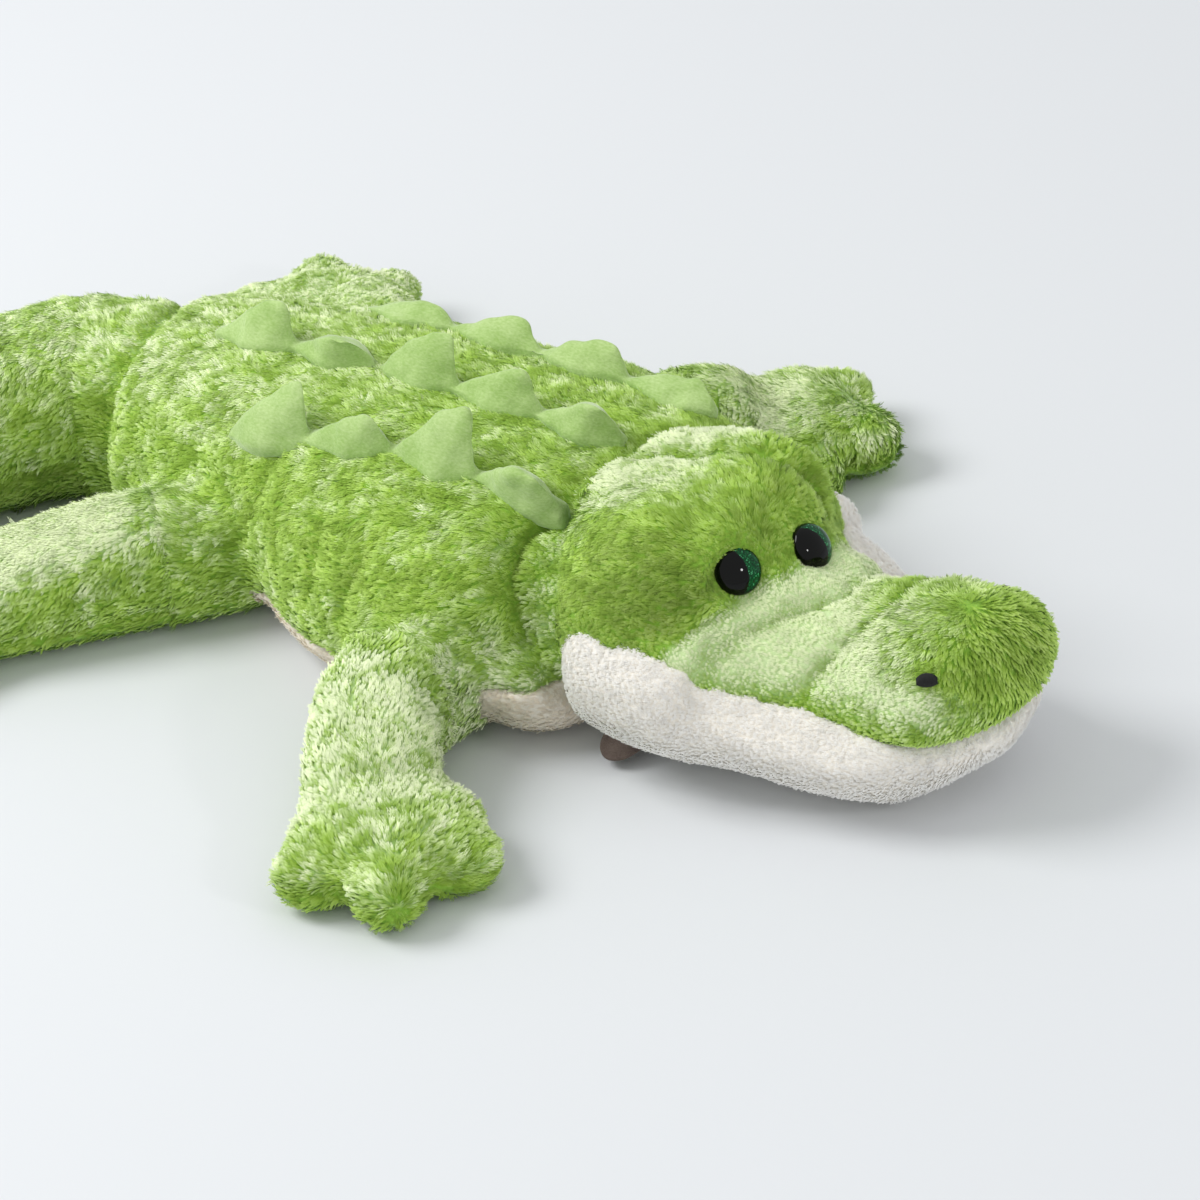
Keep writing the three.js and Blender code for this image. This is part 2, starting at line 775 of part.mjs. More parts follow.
const overJaw = headForm(-seamGap, headSides, headRings).add(neckCutter);
const jawCore = (inset) => jawForm(inset, coreSides, coreRings);
const jawShell = jawForm(0, jawSides, jawRings)
  .intersect(aboveFloor)
  .subtract(jawCore(skinThickness))
  .subtract(overJaw);
addPiece('lower_jaw', jawShell, creamPlush, headGroup);
addPiece('jaw_filling', jawCore(skinThickness + seamGap).subtract(overJaw), fibre, headGroup);

const stem = stemDiameter / 2;
const eyeBack = [
  [0, -stemLength],
  [stem, -stemLength],
  [stem, -eyeBackThickness],
  [eyeDiameter / 2, -eyeBackThickness],
  [eyeDiameter / 2, 0],
  [0, 0],
];
const eyeDome = [[0, seamGap], [eyeDiameter / 2, seamGap]];
for (let i = 0; i <= domeRows; i += 1) {
  const angle = (Math.PI / 2) * (i / domeRows);
  const radius = i === domeRows ? 0 : (eyeDiameter / 2) * Math.cos(angle);
  eyeDome.push([radius, eyeDomeEdge + (eyeDomeHeight - eyeDomeEdge) * Math.sin(angle)]);
}
const eyeWasher = [
  [stem + stemFit, washerZ - washerThickness],
  [washerDiameter / 2, washerZ - washerThickness],
  [washerDiameter / 2, washerZ],
  [stem + stemFit, washerZ],
  [stem + stemFit, washerZ - washerThickness],
];
for (const [name, side] of [['right', -1], ['left', 1]]) {
  addPiece('eye_backing_' + name, eyePlaced(turnedSolid(eyeBack), side), paintedPlastic, headGroup);
  addPiece('eye_lens_' + name, eyePlaced(turnedSolid(eyeDome), side), clearPlastic, headGroup);
  addPiece('eye_washer_' + name, eyePlaced(turnedSolid(eyeWasher), side), washerPlastic, headGroup);
  addPiece('nostril_' + name, nostrilPad(side), blackThread, headGroup);
}

// Tag, a bare oval of felt sewn under the chin
const tagForm = solidOf(
  new THREE.CylinderGeometry(tagWidth / 2, tagWidth / 2, tagThickness, tagFacets)
    .rotateX(Math.PI / 2)
    .scale(tagLength / tagWidth, 1, 1)
    .rotateY(turned(tagTilt))
    .rotateZ(turned(tagTurn))
    .translate(tagU, tagV, tagZ),
);
const tagCut = tagForm.subtract(jawForm(-seamGap, jawSides, jawRings)).intersect(aboveFloor);
addPiece('tag', tagCut, brownFelt, headGroup);

// Scute strips
function stripForm(count, startX, y) {
  const rings = count * scuteRings;
  const points = [];
  const index = [];
  const torsoTopAt = (x) => {
    const t = THREE.MathUtils.clamp((x - rumpX) / torsoLength, 0, 1);
    const half = shareAt(torsoShares, t, 1) * torsoWidth / 2;
    const aside = Math.abs(y - torsoSpine.getPointAt(t).y) / half;
    const fall = (1 - Math.min(aside, 1) ** bodyPower) ** (1 / bodyPower);
    return torsoHeight * (torsoMiddleShare + (shareAt(torsoShares, t, 2) - torsoMiddleShare) * fall);
  };
  const lean = Math.sign(y) * Math.min(Math.abs(y) / (torsoWidth / 2), 1);
  for (let i = 0; i <= rings; i += 1) {
    const x = startX + (scutePitch * i) / scuteRings;
    const phase = (i % scuteRings) / scuteRings;
    const skewed = phase < scutePeakShare ? phase / scutePeakShare : (1 - phase) / (1 - scutePeakShare);
    const wide = Math.sin(Math.PI * phase) ** scuteSpread;
    const half = stripWidth / 2 + (wide * (scuteWidth - stripWidth)) / 2;
    const high = stripThickness + scuteHeight * skewed ** scuteRise;
    const z = torsoTopAt(x);
    const section = [
      [-half, -stripSink],
      [half, -stripSink],
      [half, stripThickness],
      [half * crestShare, high],
      [-half * crestShare, high],
      [-half, stripThickness],
    ];
    section.forEach(([across, rise]) => {
      const aside = across * Math.sqrt(1 - lean * lean * sideLeanShare) + rise * lean * sideLeanShare;
      points.push(x, y + aside, z - across * lean * sideFallShare + rise);
    });
  }
  const sides = 6;
  const at = (ring, i) => ring * sides + (i % sides);
  for (let ring = 0; ring < rings; ring += 1) {
    for (let i = 0; i < sides; i += 1) {
      index.push(at(ring, i), at(ring, i + 1), at(ring + 1, i));
      index.push(at(ring, i + 1), at(ring + 1, i + 1), at(ring + 1, i));
    }
  }
  for (let i = 1; i + 1 < sides; i += 1) {
    index.push(at(0, 0), at(0, i + 1), at(0, i));
    index.push(at(rings, 0), at(rings, i), at(rings, i + 1));
  }
  const geometry = new THREE.BufferGeometry();
  geometry.setAttribute('position', new THREE.Float32BufferAttribute(points, 3));
  geometry.setIndex(index);
  const solid = solidOf(geometry);
  return solid.volume() < 0 ? solidOf(reversed(geometry)) : solid;
}
const torsoSeamed = torsoForm(-seamGap, torsoSides, torsoRings);
const strips = [
  ['scute_strip_centre', centreScutes, centreStripX, stripsY],
  ['scute_strip_right', sideScutes, sideStripX, stripsY - sideStripY],
  ['scute_strip_left', sideScutes, sideStripX, stripsY + sideStripY],
];
strips.forEach(([name, count, x, y]) => {
  addPiece(name, stripForm(count, x, y).subtract(torsoSeamed), scuteCloth);
});

export default crocodile;
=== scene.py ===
# %% [markdown]
# # A plush crocodile
# The toy lies flat on its belly: a long stuffed body in lime green fur, four splayed paws, a hood-like
# head, a long snout over a cream lower jaw, and rows of soft fins along its back. It is sewn from few
# pattern pieces, so nearly everything that the eye reads as detail is pile: which way it lies, how long it
# is and how pale its tips are. Painted light and shade ride on that paleness too: paler tops, darker
# folds, grooves, undersides and shaded sides.
#
# The order of this lesson is the order of a soft toy's making: forms first, then cloth, then fur, then the
# trimmings.

# %% Load the imported model
import math

import bpy
import numpy as np
from mathutils import Matrix, Vector, noise


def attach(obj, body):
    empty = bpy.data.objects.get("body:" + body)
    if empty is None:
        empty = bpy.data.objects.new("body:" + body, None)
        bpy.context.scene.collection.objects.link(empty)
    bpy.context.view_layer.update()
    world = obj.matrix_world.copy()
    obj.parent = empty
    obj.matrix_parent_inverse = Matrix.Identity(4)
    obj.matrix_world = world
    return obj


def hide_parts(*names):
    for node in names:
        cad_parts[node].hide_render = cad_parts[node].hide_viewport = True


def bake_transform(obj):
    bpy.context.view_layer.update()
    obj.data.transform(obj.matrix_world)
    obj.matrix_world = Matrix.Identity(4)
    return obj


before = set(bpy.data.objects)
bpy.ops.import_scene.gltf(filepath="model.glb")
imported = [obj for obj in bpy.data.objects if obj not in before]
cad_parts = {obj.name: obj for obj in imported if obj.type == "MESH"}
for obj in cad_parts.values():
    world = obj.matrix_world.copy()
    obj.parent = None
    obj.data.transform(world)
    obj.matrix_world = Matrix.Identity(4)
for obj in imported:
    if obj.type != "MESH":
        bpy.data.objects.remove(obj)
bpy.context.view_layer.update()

MM = 0.001

# %% [markdown]
# ## Camera, floor and light
# The picture was taken from standing height with a long lens, a little rolled to one side. A camera can be
# aimed by Euler angles, but three measured axes are easier to check: right, up and backwards as the columns
# of its matrix. The light is one large soft source on the left of the picture, and a pale room fills the
# shadows. A small window in front of the face adds little light: it is there for the glint in each eye.

# %% Camera
camera_data = bpy.data.cameras.new("photo_camera")
camera_data.sensor_width = 36
camera_data.lens = 194.7
camera_data.clip_end = 20
camera = bpy.data.objects.new("photo_camera", camera_data)
bpy.context.scene.collection.objects.link(camera)
camera_right = Vector((0.8285, 0.5517, -0.0960))
camera_up = Vector((-0.2422, 0.5075, 0.8269))
camera_back = Vector((0.5049, -0.6618, 0.5541))
camera.matrix_world = Matrix((camera_right, camera_up, camera_back)).transposed().to_4x4()
camera.matrix_world.translation = (1.6331, -2.0116, 1.6899)
bpy.context.scene.camera = camera

# %% Floor, lamp and room
bpy.context.scene.view_settings.view_transform = "Standard"


def plain_material(name, colour, roughness):
    material = bpy.data.materials.new(name)
    material.use_nodes = True
    shader = material.node_tree.nodes["Principled BSDF"]
    shader.inputs["Base Color"].default_value = (*colour, 1)
    shader.inputs["Roughness"].default_value = roughness
    return material


FLOOR_HALF = 4
floor_corners = [(x * FLOOR_HALF, y * FLOOR_HALF, 0) for x, y in ((-1, -1), (1, -1), (1, 1), (-1, 1))]
floor_mesh = bpy.data.meshes.new("floor")
floor_mesh.from_pydata(floor_corners, [], [(0, 1, 2, 3)])
floor = bpy.data.objects.new("floor", floor_mesh)
floor_mesh.materials.append(plain_material("pale_floor", (0.74, 0.76, 0.78), 0.7))
bpy.context.scene.collection.objects.link(floor)


def round_lamp(name, size, energy, place, aim):
    data = bpy.data.lights.new(name, "AREA")
    data.shape = "DISK"
    data.size = size
    data.energy = energy
    lamp = bpy.data.objects.new(name, data)
    lamp.location = place
    lamp.rotation_euler = (Vector(aim) - lamp.location).to_track_quat("-Z", "Y").to_euler()
    bpy.context.scene.collection.objects.link(lamp)


round_lamp("softbox", size=1.3, energy=34, place=(-1.35, -0.75, 1.8), aim=(0, 0, 0))
round_lamp("small_window", size=0.17, energy=2.6, place=(1.6, -0.29, 0.92), aim=(0.24, -0.05, 0.1))

room = bpy.data.worlds.new("pale_room")
room.use_nodes = True
room_light = room.node_tree.nodes["Background"]
room_light.inputs["Color"].default_value = (0.98, 0.99, 1, 1)
room_light.inputs["Strength"].default_value = 0.7
bpy.context.scene.world = room

# %% [markdown]
# ## The forms, before cloth
# A stuffed limb swells and tapers along a bent middle line. Sculpting it by hand would do, but then nothing
# could be corrected by a number. Here each form is a loft: upright sections, a little squarer than
# ellipses, along a smooth line, with tables that say how wide and how high it is on its way. The tables
# repeat the sizes of the solid model, so that the cloth fits the space that the physics knows. All of these
# sizes are in millimetres.

# %% Middle lines and tables
class MiddleLine:
    """A smooth line through points, measured along itself from 0 to 1."""

    def __init__(self, points):
        steps = 60
        at = [np.array(p, float) for p in points]
        at = [2 * at[0] - at[1], *at, 2 * at[-1] - at[-2]]
        drawn = []
        for before, a, b, after in zip(at, at[1:], at[2:], at[3:]):
            s0, s1, s2 = (math.sqrt(np.linalg.norm(v - u)) for u, v in ((before, a), (a, b), (b, after)))
            leave = ((a - before) / s0 - (b - before) / (s0 + s1) + (b - a) / s1) * s1
            reach = ((b - a) / s1 - (after - a) / (s1 + s2) + (after - b) / s2) * s1
            for k in np.linspace(0, 1, steps, endpoint=False):
                curve = (2 * a - 2 * b + leave + reach) * k**3 + (-3 * a + 3 * b - 2 * leave - reach) * k**2
                drawn.append(a + leave * k + curve)
        self.points = np.array([*drawn, at[-2]])
        self.along = np.concatenate([[0], np.cumsum(np.linalg.norm(np.diff(self.points, axis=0), axis=1))])
        self.length = self.along[-1]

    def point(self, t):
        return np.array([np.interp(t * self.length, self.along, self.points[:, axis]) for axis in range(3)])

    def tangent(self, t, step=1e-3):
        ahead = self.point(min(t + step, 1)) - self.point(max(t - step, 0))
        return ahead / np.linalg.norm(ahead)


def share_at(table, t, column):
    """A column of a table, read smoothly between its rows, whose first column says how far along they are."""
    last = len(table) - 1
    i = 0
    while i < last - 1 and t > table[i + 1][0]:
        i += 1
    before, a, b, after = table[max(i - 1, 0)], table[i], table[i + 1], table[min(i + 2, last)]
    step = b[0] - a[0]
    k = min(max((t - a[0]) / step, 0), 1)
    slope_a = (b[column] - before[column]) / ((b[0] - before[0]) or step)
    slope_b = (after[column] - a[column]) / (after[0] - a[0])
    rise = b[column] - a[column]
    return (
        a[column]
        + rise * (3 * k**2 - 2 * k**3)
        + slope_a * step * (k**3 - 2 * k**2 + k)
        + slope_b * step * (k**3 - k**2)
    )


# %% A stuffed form from upright sections
BODY_POWER = 2.35
BELLY_POWER = 3.2


def section(sides, under_power=BODY_POWER):
    angle = 2 * np.pi * (np.arange(sides) + 0.5) / sides
    c, s = np.cos(angle), np.sin(angle)
    power = np.where(s > 0, BODY_POWER, under_power)
    return np.sign(c) * np.abs(c) ** (2 / power), np.sign(s) * np.abs(s) ** (2 / power)


def stuffed_form(
    line, section_at, start_round=0, end_round=0, under_power=BODY_POWER, sides=48, rings=48, grow=0
):
    """Upright sections along a line; section_at gives half the width, the reach up and the reach down."""
    places = []
    round_rings = 8
    if start_round:
        for i in range(1, round_rings + 1):
            angle = math.pi / 2 * i / round_rings
            places.append((start_round * (1 - math.cos(angle)), math.sin(angle)))
    else:
        places.append((0, 1))
    for i in range(1, rings):
        places.append((start_round + (line.length - end_round - start_round) * i / rings, 1))
    if end_round:
        for i in range(round_rings, 0, -1):
            angle = math.pi / 2 * i / round_rings
            places.append((line.length - end_round * (1 - math.cos(angle)), math.sin(angle)))
    else:
        places.append((line.length, 1))
    wide, high = section(sides, under_power)
    points = [line.point(0) - line.tangent(0) * grow]
    for at, scale in places:
        t = min(max(at / line.length, 0), 1)
        across = np.cross((0, 0, 1), line.tangent(t))
        across /= np.linalg.norm(across)
        half, up, down = section_at(t)
        rise = np.where(high > 0, high * (up + grow), high * (down + grow))
        ring = line.point(t) + np.outer(wide * (half + grow) * scale, across)
        ring[:, 2] += rise * scale
        points.extend(ring)
    points.append(line.point(1) + line.tangent(1) * grow)
    tip = len(points) - 1
    faces = []
    for i in range(sides):
        j = (i + 1) % sides
        faces.append((0, 1 + j, 1 + i))
        for row in range(len(places) - 1):
            a, b = 1 + row * sides, 1 + (row + 1) * sides
            faces.append((a + i, a + j, b + j, b + i))
        last_ring = 1 + (len(places) - 1) * sides
        faces.append((tip, last_ring + i, last_ring + j))
    return np.array(points), faces


def ellipsoid(length, width, height, turns=40, rows=24):
    polar = np.pi * np.arange(1, rows) / rows
    turn = 2 * np.pi * np.arange(turns) / turns
    ring = np.array([[np.cos(a) * np.sin(p), np.sin(a) * np.sin(p), np.cos(p)] for p in polar for a in turn])
    points = np.vstack([[0, 0, 1], ring, [0, 0, -1]]) * np.array([length, width, height]) / 2
    faces = []
    for i in range(turns):
        j = (i + 1) % turns
        faces.append((0, 1 + i, 1 + j))
        for row in range(rows - 2):
            a, b = 1 + row * turns, 1 + (row + 1) * turns
            faces.append((a + i, b + i, b + j, a + j))
        faces.append((len(points) - 1, 1 + (rows - 2) * turns + j, 1 + (rows - 2) * turns + i))
    return points, faces


def turned_root(diameter, up, down, power=BODY_POWER):
    """A round root that a limb or the neck turns on, with the same upright outline as its limb."""
    turns, rows = 48, 14
    angle = np.linspace(-np.pi / 2, np.pi / 2, 2 * rows + 1)[1:-1]
    s, c = np.sin(angle), np.cos(angle)
    shape = np.where(s > 0, BODY_POWER, power)
    radius = c ** (2 / shape) * diameter / 2
    level = np.sign(s) * np.abs(s) ** (2 / shape) * np.where(s > 0, up, down)
    turn = 2 * np.pi * np.arange(turns) / turns
    points = [(0, 0, -down)]
    for r, z in zip(radius, level):
        points.extend((r * math.cos(a), r * math.sin(a), z) for a in turn)
    points.append((0, 0, up))
    rings = len(radius)
    faces = []
    for i in range(turns):
        j = (i + 1) % turns
        faces.append((0, 1 + j, 1 + i))
        for row in range(rings - 1):
            a, b = 1 + row * turns, 1 + (row + 1) * turns
            faces.append((a + i, a + j, b + j, b + i))
        faces.append((len(points) - 1, 1 + (rings - 1) * turns + i, 1 + (rings - 1) * turns + j))
    return np.array(points), faces


def turned(points, degrees):
    """Rows of places or directions, turned about the upright axis."""
    c, s = math.cos(math.radians(degrees)), math.sin(math.radians(degrees))
    return points @ np.array([[c, s, 0], [-s, c, 0], [0, 0, 1]])


def placed(form, turn, at):
    points, faces = form
    return turned(points, turn) + np.array(at), faces


# %% Torso and neck
FLOOR_PRESS = 0.5
torso_length, torso_width, torso_height, rump_x = 291, 220, 114, -166
TORSO_MIDDLE_SHARE = 0.34
torso_middle = torso_height * TORSO_MIDDLE_SHARE
torso_sway = [0, 0, -0.01, -0.065, -0.045]
torso_table = [
    [0, 0.52, 0.86],
    [0.15, 0.6, 0.93],
    [0.31, 0.68, 0.98],
    [0.5, 0.82, 1],
    [0.66, 0.94, 1],
    [0.8, 1.03, 0.99],
    [0.9, 1, 0.975],
    [1, 0.8, 0.96],
]
torso_line = MiddleLine(
    [(rump_x + torso_length * i / 4, sway * torso_width, torso_middle) for i, sway in enumerate(torso_sway)]
)
torso_form = stuffed_form(
    torso_line,
    lambda t: (
        share_at(torso_table, t, 1) * torso_width / 2,
        share_at(torso_table, t, 2) * torso_height - torso_middle,
        torso_middle + FLOOR_PRESS,
    ),
    start_round=36,
    under_power=BELLY_POWER,
)
neck_at = (125, -10, 0)
neck_diameter = 176


def neck_form(grow=0):
    up = torso_height * torso_table[-1][2] - torso_middle + grow
    form = turned_root(neck_diameter + 2 * grow, up, torso_middle + FLOOR_PRESS + grow, BELLY_POWER)
    return placed(form, 0, (neck_at[0], neck_at[1], torso_middle))


# %% Legs and tail
def upright_root(diameter, height, x, y):
    """The round root of a limb, standing on the floor."""
    form = turned_root(diameter, height / 2, height / 2 + FLOOR_PRESS)
    return placed(form, 0, (x, y, height / 2))


leg_diameter = leg_height = 66
leg_table = [[0, 1, 1], [0.35, 0.95, 1], [0.7, 1.02, 0.86], [1, 1.1, 0.62]]
paw_size, toe_size = (80, 92, 44), (52, 42, 36)
toe_reach, toe_fan = 32, 62
legs = {
    "front_right": (-1, (84, 104), [(-2, 42), (18, 82), (44, 110)], 54),
    "front_left": (1, (76, 76), [(6, 28), (20, 52), (37, 68)], 20),
    "rear_right": (-1, (-66, 66), [(-28, 30), (-64, 64), (-104, 98)], 122),
    "rear_left": (1, (-76, 62), [(-19, 31), (-44, 55), (-78, 69)], 126),
}


def leg_line(name):
    side, (x, y), route, _ = legs[name]
    places = [(0, 0), *route]
    return MiddleLine(
        [
            (x + forward, side * (y + out), share_at(leg_table, i / len(route), 2) * leg_height / 2)
            for i, (forward, out) in enumerate(places)
        ]
    )


def leg_forms(name):
    side, (x, y), route, toes = legs[name]
    line = leg_line(name)
    limb = stuffed_form(
        line,
        lambda t: (
            share_at(leg_table, t, 1) * leg_diameter / 2,
            share_at(leg_table, t, 2) * leg_height - line.point(t)[2],
            line.point(t)[2] + FLOOR_PRESS,
        ),
        end_round=20,
        sides=36,
        rings=24,
    )
    end = line.points[-1]
    paw = placed(ellipsoid(*paw_size), side * toes, (end[0], end[1], paw_size[2] / 2 - FLOOR_PRESS))
    forms = [limb, upright_root(leg_diameter, leg_height, x, side * y), paw]
    for place in (-1, 0, 1):
        heading = side * (toes + place * toe_fan)
        c, s = math.cos(math.radians(heading)), math.sin(math.radians(heading))
        at = (end[0] + toe_reach * c, end[1] + toe_reach * s, toe_size[2] / 2 - FLOOR_PRESS)
        forms.append(placed(ellipsoid(*toe_size), heading, at))
    return forms


tail_x, tail_diameter, tail_height, tail_reach = -146, 88, 98, 250
tail_route = [
    (0, 0),
    (0.12, -0.01),
    (0.24, -0.07),
    (0.35, -0.19),
    (0.46, -0.33),
    (0.6, -0.45),
    (0.78, -0.53),
    (1, -0.57),
]
tail_table = [
    [0, 1, 1],
    [0.2, 1.02, 0.96],
    [0.4, 0.96, 0.86],
    [0.65, 0.76, 0.64],
    [0.85, 0.54, 0.45],
    [1, 0.42, 0.36],
]
tail_line = MiddleLine(
    [
        (
            tail_x - back * tail_reach,
            aside * tail_reach,
            share_at(tail_table, i / (len(tail_route) - 1), 2) * tail_height / 2,
        )
        for i, (back, aside) in enumerate(tail_route)
    ]
)
tail_forms = [
    stuffed_form(
        tail_line,
        lambda t: (
            share_at(tail_table, t, 1) * tail_diameter / 2,
            share_at(tail_table, t, 2) * tail_height - tail_line.point(t)[2],
            tail_line.point(t)[2] + FLOOR_PRESS,
        ),
        end_round=24,
    ),
    upright_root(tail_diameter, tail_height, tail_x, 0),
]

# %% Head and lower jaw
HEAD_TURN = -15
head_length, head_width, head_height, head_rear = 225, 188, 138, 12
head_table = [
    [0, 0.76, 0.855, 0.44, 0.16, -0.03],
    [0.065, 0.79, 0.87, 0.44, 0.16, -0.035],
    [0.175, 0.82, 0.895, 0.45, 0.15, -0.045],
    [0.285, 0.79, 0.9, 0.45, 0.15, -0.052],
    [0.39, 0.69, 0.85, 0.42, 0.16, -0.045],
    [0.445, 0.635, 0.74, 0.37, 0.18, -0.03],
    [0.5, 0.585, 0.675, 0.34, 0.2, -0.012],
    [0.575, 0.54, 0.645, 0.33, 0.21, 0.015],
    [0.65, 0.5, 0.64, 0.33, 0.22, 0.04],
    [0.715, 0.52, 0.675, 0.35, 0.25, 0.066],
    [0.795, 0.55, 0.685, 0.38, 0.28, 0.1],
    [0.89, 0.56, 0.685, 0.4, 0.3, 0.132],
    [1, 0.53, 0.665, 0.41, 0.31, 0.152],
]
head_places = [head_rear + row[0] * head_length for row in head_table]
head_sways = [row[5] * head_width for row in head_table]
head_line = MiddleLine(
    [(place, sway, row[3] * head_height) for place, sway, row in zip(head_places, head_sways, head_table)]
)


def head_form(grow=0):
    return stuffed_form(
        head_line,
        lambda t: (
            share_at(head_table, t, 1) * head_width / 2,
            share_at(head_table, t, 2) * head_height - head_line.point(t)[2],
            head_line.point(t)[2] - share_at(head_table, t, 4) * head_height,
        ),
        start_round=14,
        end_round=34,
        sides=56,
        rings=64,
        grow=grow,
    )


brow_size, brow_at, brow_sway = (80, 76, 74), (70, 27, 91), -0.05 * head_width
brow_forms = [
    placed(ellipsoid(*brow_size), 0, (brow_at[0], side * brow_at[1] + brow_sway, brow_at[2]))
    for side in (-1, 1)
]
jaw_length, jaw_width, jaw_rear, rim_front, rim_rear = 182, 184, 46, 57, 94
jaw_table = [
    [0, 0.84, 0.86, 0.2, -0.03],
    [0.1, 0.94, 1, 0.12, -0.04],
    [0.23, 0.92, 0.9, 0.04, -0.04],
    [0.35, 0.84, 0.56, 0, -0.015],
    [0.47, 0.78, 0.26, 0, 0.005],
    [0.63, 0.71, 0.06, 0, 0.045],
    [0.8, 0.645, 0, 0.01, 0.12],
    [1, 0.59, 0, 0.11, 0.175],
]


def rim(share):
    return rim_front + (rim_rear - rim_front) * share


jaw_line = MiddleLine(
    [
        (jaw_rear + row[0] * jaw_length, row[4] * jaw_width, (rim(row[2]) + row[3] * rim_rear) / 2)
        for row in jaw_table
    ]
)
jaw_form = stuffed_form(
    jaw_line,
    lambda t: (
        share_at(jaw_table, t, 1) * jaw_width / 2,
        rim(share_at(jaw_table, t, 2)) - jaw_line.point(t)[2],
        jaw_line.point(t)[2] - share_at(jaw_table, t, 3) * rim_rear + FLOOR_PRESS,
    ),
    start_round=24,
    end_round=46,
    rings=56,
)


def in_head(form):
    return placed(form, HEAD_TURN, neck_at)


def block(length, width, height):
    corners = [(x, y, z) for x in (-1, 1) for y in (-1, 1) for z in (-1, 1)]
    points = np.array(corners) * np.array([length, width, height]) / 2
    return points, [(0, 1, 3, 2), (4, 6, 7, 5), (0, 4, 5, 1), (2, 3, 7, 6), (0, 2, 6, 4), (1, 5, 7, 3)]


def back_block(swing):
    """The room of the back behind the hood, as the head sees it when it is turned by so many degrees."""
    block_length, front = 100, 4
    points, faces = block(block_length, 260, 2 * (torso_height * torso_table[6][2] + 0.9))
    return placed((points + np.array([front - block_length / 2, 0, 0]), faces), -swing, neck_at)


def to_head(points):
    """Places in millimetres of the row frame, seen from the head's own straight frame."""
    return turned(points - np.array(neck_at), -HEAD_TURN)


# %% [markdown]
# ## From forms to cloth
# Sewn and stuffed cloth has no creases where two forms meet: it is pulled over both. A boolean join would
# leave a hard edge there. A voxel remesh joins the forms into one even skin, and a few rounds of smoothing,
# done in pairs of a step in and a smaller step out so that nothing shrinks, pull it over the hollows.

# %% One skin over several forms
def mesh_object(name, points, faces):
    mesh = bpy.data.meshes.new(name)
    mesh.from_pydata(np.asarray(points) * MM, [], faces)
    made = bpy.data.objects.new(name, mesh)
    bpy.context.scene.collection.objects.link(made)
    return made


def together(forms):
    points, faces, base = [], [], 0
    for part, part_faces in forms:
        points.append(part)
        faces.extend(tuple(base + i for i in face) for face in part_faces)
        base += len(part)
    return np.vstack(points), faces


def applied(made):
    """The object with its modifiers turned into plain mesh."""
    graph = bpy.context.evaluated_depsgraph_get()
    mesh = bpy.data.meshes.new_from_object(made.evaluated_get(graph))
    made.modifiers.clear()
    old = made.data
    made.data = mesh
    bpy.data.meshes.remove(old)
    return made


def fused(made, voxel):
    remesh = made.modifiers.new("fuse", "REMESH")
    remesh.mode = "VOXEL"
    remesh.voxel_size = voxel * MM
    return applied(made)


def skin_over(name, forms, voxel, cutters=()):
    made = fused(mesh_object(name, *together(forms)), voxel)
    for cutter_forms in cutters:
        tool = fused(mesh_object("cutter", *together(cutter_forms)), voxel)
        cut = made.modifiers.new("cut", "BOOLEAN")
        cut.operation = "DIFFERENCE"
        cut.solver = "EXACT"
        cut.object = tool
        applied(made)
        bpy.data.objects.remove(tool)
    if cutters:
        fused(made, voxel)
    return made


def read_rows(items, field, width, kind=float):
    """One field of every item of a collection, as rows of numbers."""
    out = np.empty(len(items) * width, dtype=kind)
    items.foreach_get(field, out)
    return out.reshape(-1, width)


def points_of(made):
    return read_rows(made.data.vertices, "co", 3) / MM


def set_points(made, points):
    made.data.vertices.foreach_set("co", (points * MM).ravel())
    made.data.update()


def normals_of(made):
    return read_rows(made.data.vertices, "normal", 3)


def edges_of(made):
    return read_rows(made.data.edges, "vertices", 2, np.int64)


def averaged(values, edges):
    total = np.zeros_like(values)
    count = np.zeros(len(values))
    for a, b in ((0, 1), (1, 0)):
        np.add.at(total, edges[:, a], values[edges[:, b]])
        np.add.at(count, edges[:, a], 1)
    return total / np.maximum(count, 1)[:, None]


def smoothed(points, edges, rounds):
    """Rounds of a step towards the neighbours and a step back, so that nothing shrinks."""
    for _ in range(rounds):
        for step in (0.5, -0.52):
            points = points + (averaged(points, edges) - points) * step
    return points


VOXEL, JAW_VOXEL = 4, 3
HEAD_ROOM = 1.5
leg_names = list(legs)
all_legs = [form for name in leg_names for form in leg_forms(name)]
belly_bulge = placed(ellipsoid(80, 78, 62), 0, (122, -80, 30))
body = skin_over("body", [torso_form, neck_form(), belly_bulge, *all_legs, *tail_forms], VOXEL)
hood_and_snout = [in_head(form) for form in (head_form(), *brow_forms)]
behind_head = [neck_form(HEAD_ROOM), back_block(-12), back_block(20)]
head = skin_over("head", hood_and_snout, VOXEL, [behind_head])
jaw = skin_over("jaw", [in_head(jaw_form)], JAW_VOXEL, [[in_head(head_form(-3))], [neck_form(HEAD_ROOM)]])
for made in (body, head, jaw):
    set_points(made, smoothed(points_of(made), edges_of(made), 8))
    print(made.name, len(made.data.vertices), "points")

# %% [markdown]
# ## Where one piece of cloth ends and the next begins
# The body skin is one surface, but the toy moves: legs and tail bend at their seams. So the skin is cut
# across each limb a little outside its joint. The cut edges stay in the same place on both sides.

# %% Which form does a point lie on
from mathutils.bvhtree import BVHTree


def tree_of(form):
    points, faces = form
    return BVHTree.FromPolygons([Vector(p) for p in points], faces)


def distance(trees, point):
    return min(tree.find_nearest(point)[3] for tree in trees)


def depth_inside(trees, point):
    """How deep a point lies inside any of the closed forms, 0 outside all of them."""
    deepest = 0
    for tree in trees:
        near, normal, _, away = tree.find_nearest(point)
        if (Vector(point) - near).dot(normal) < 0:
            deepest = max(deepest, away)
    return deepest


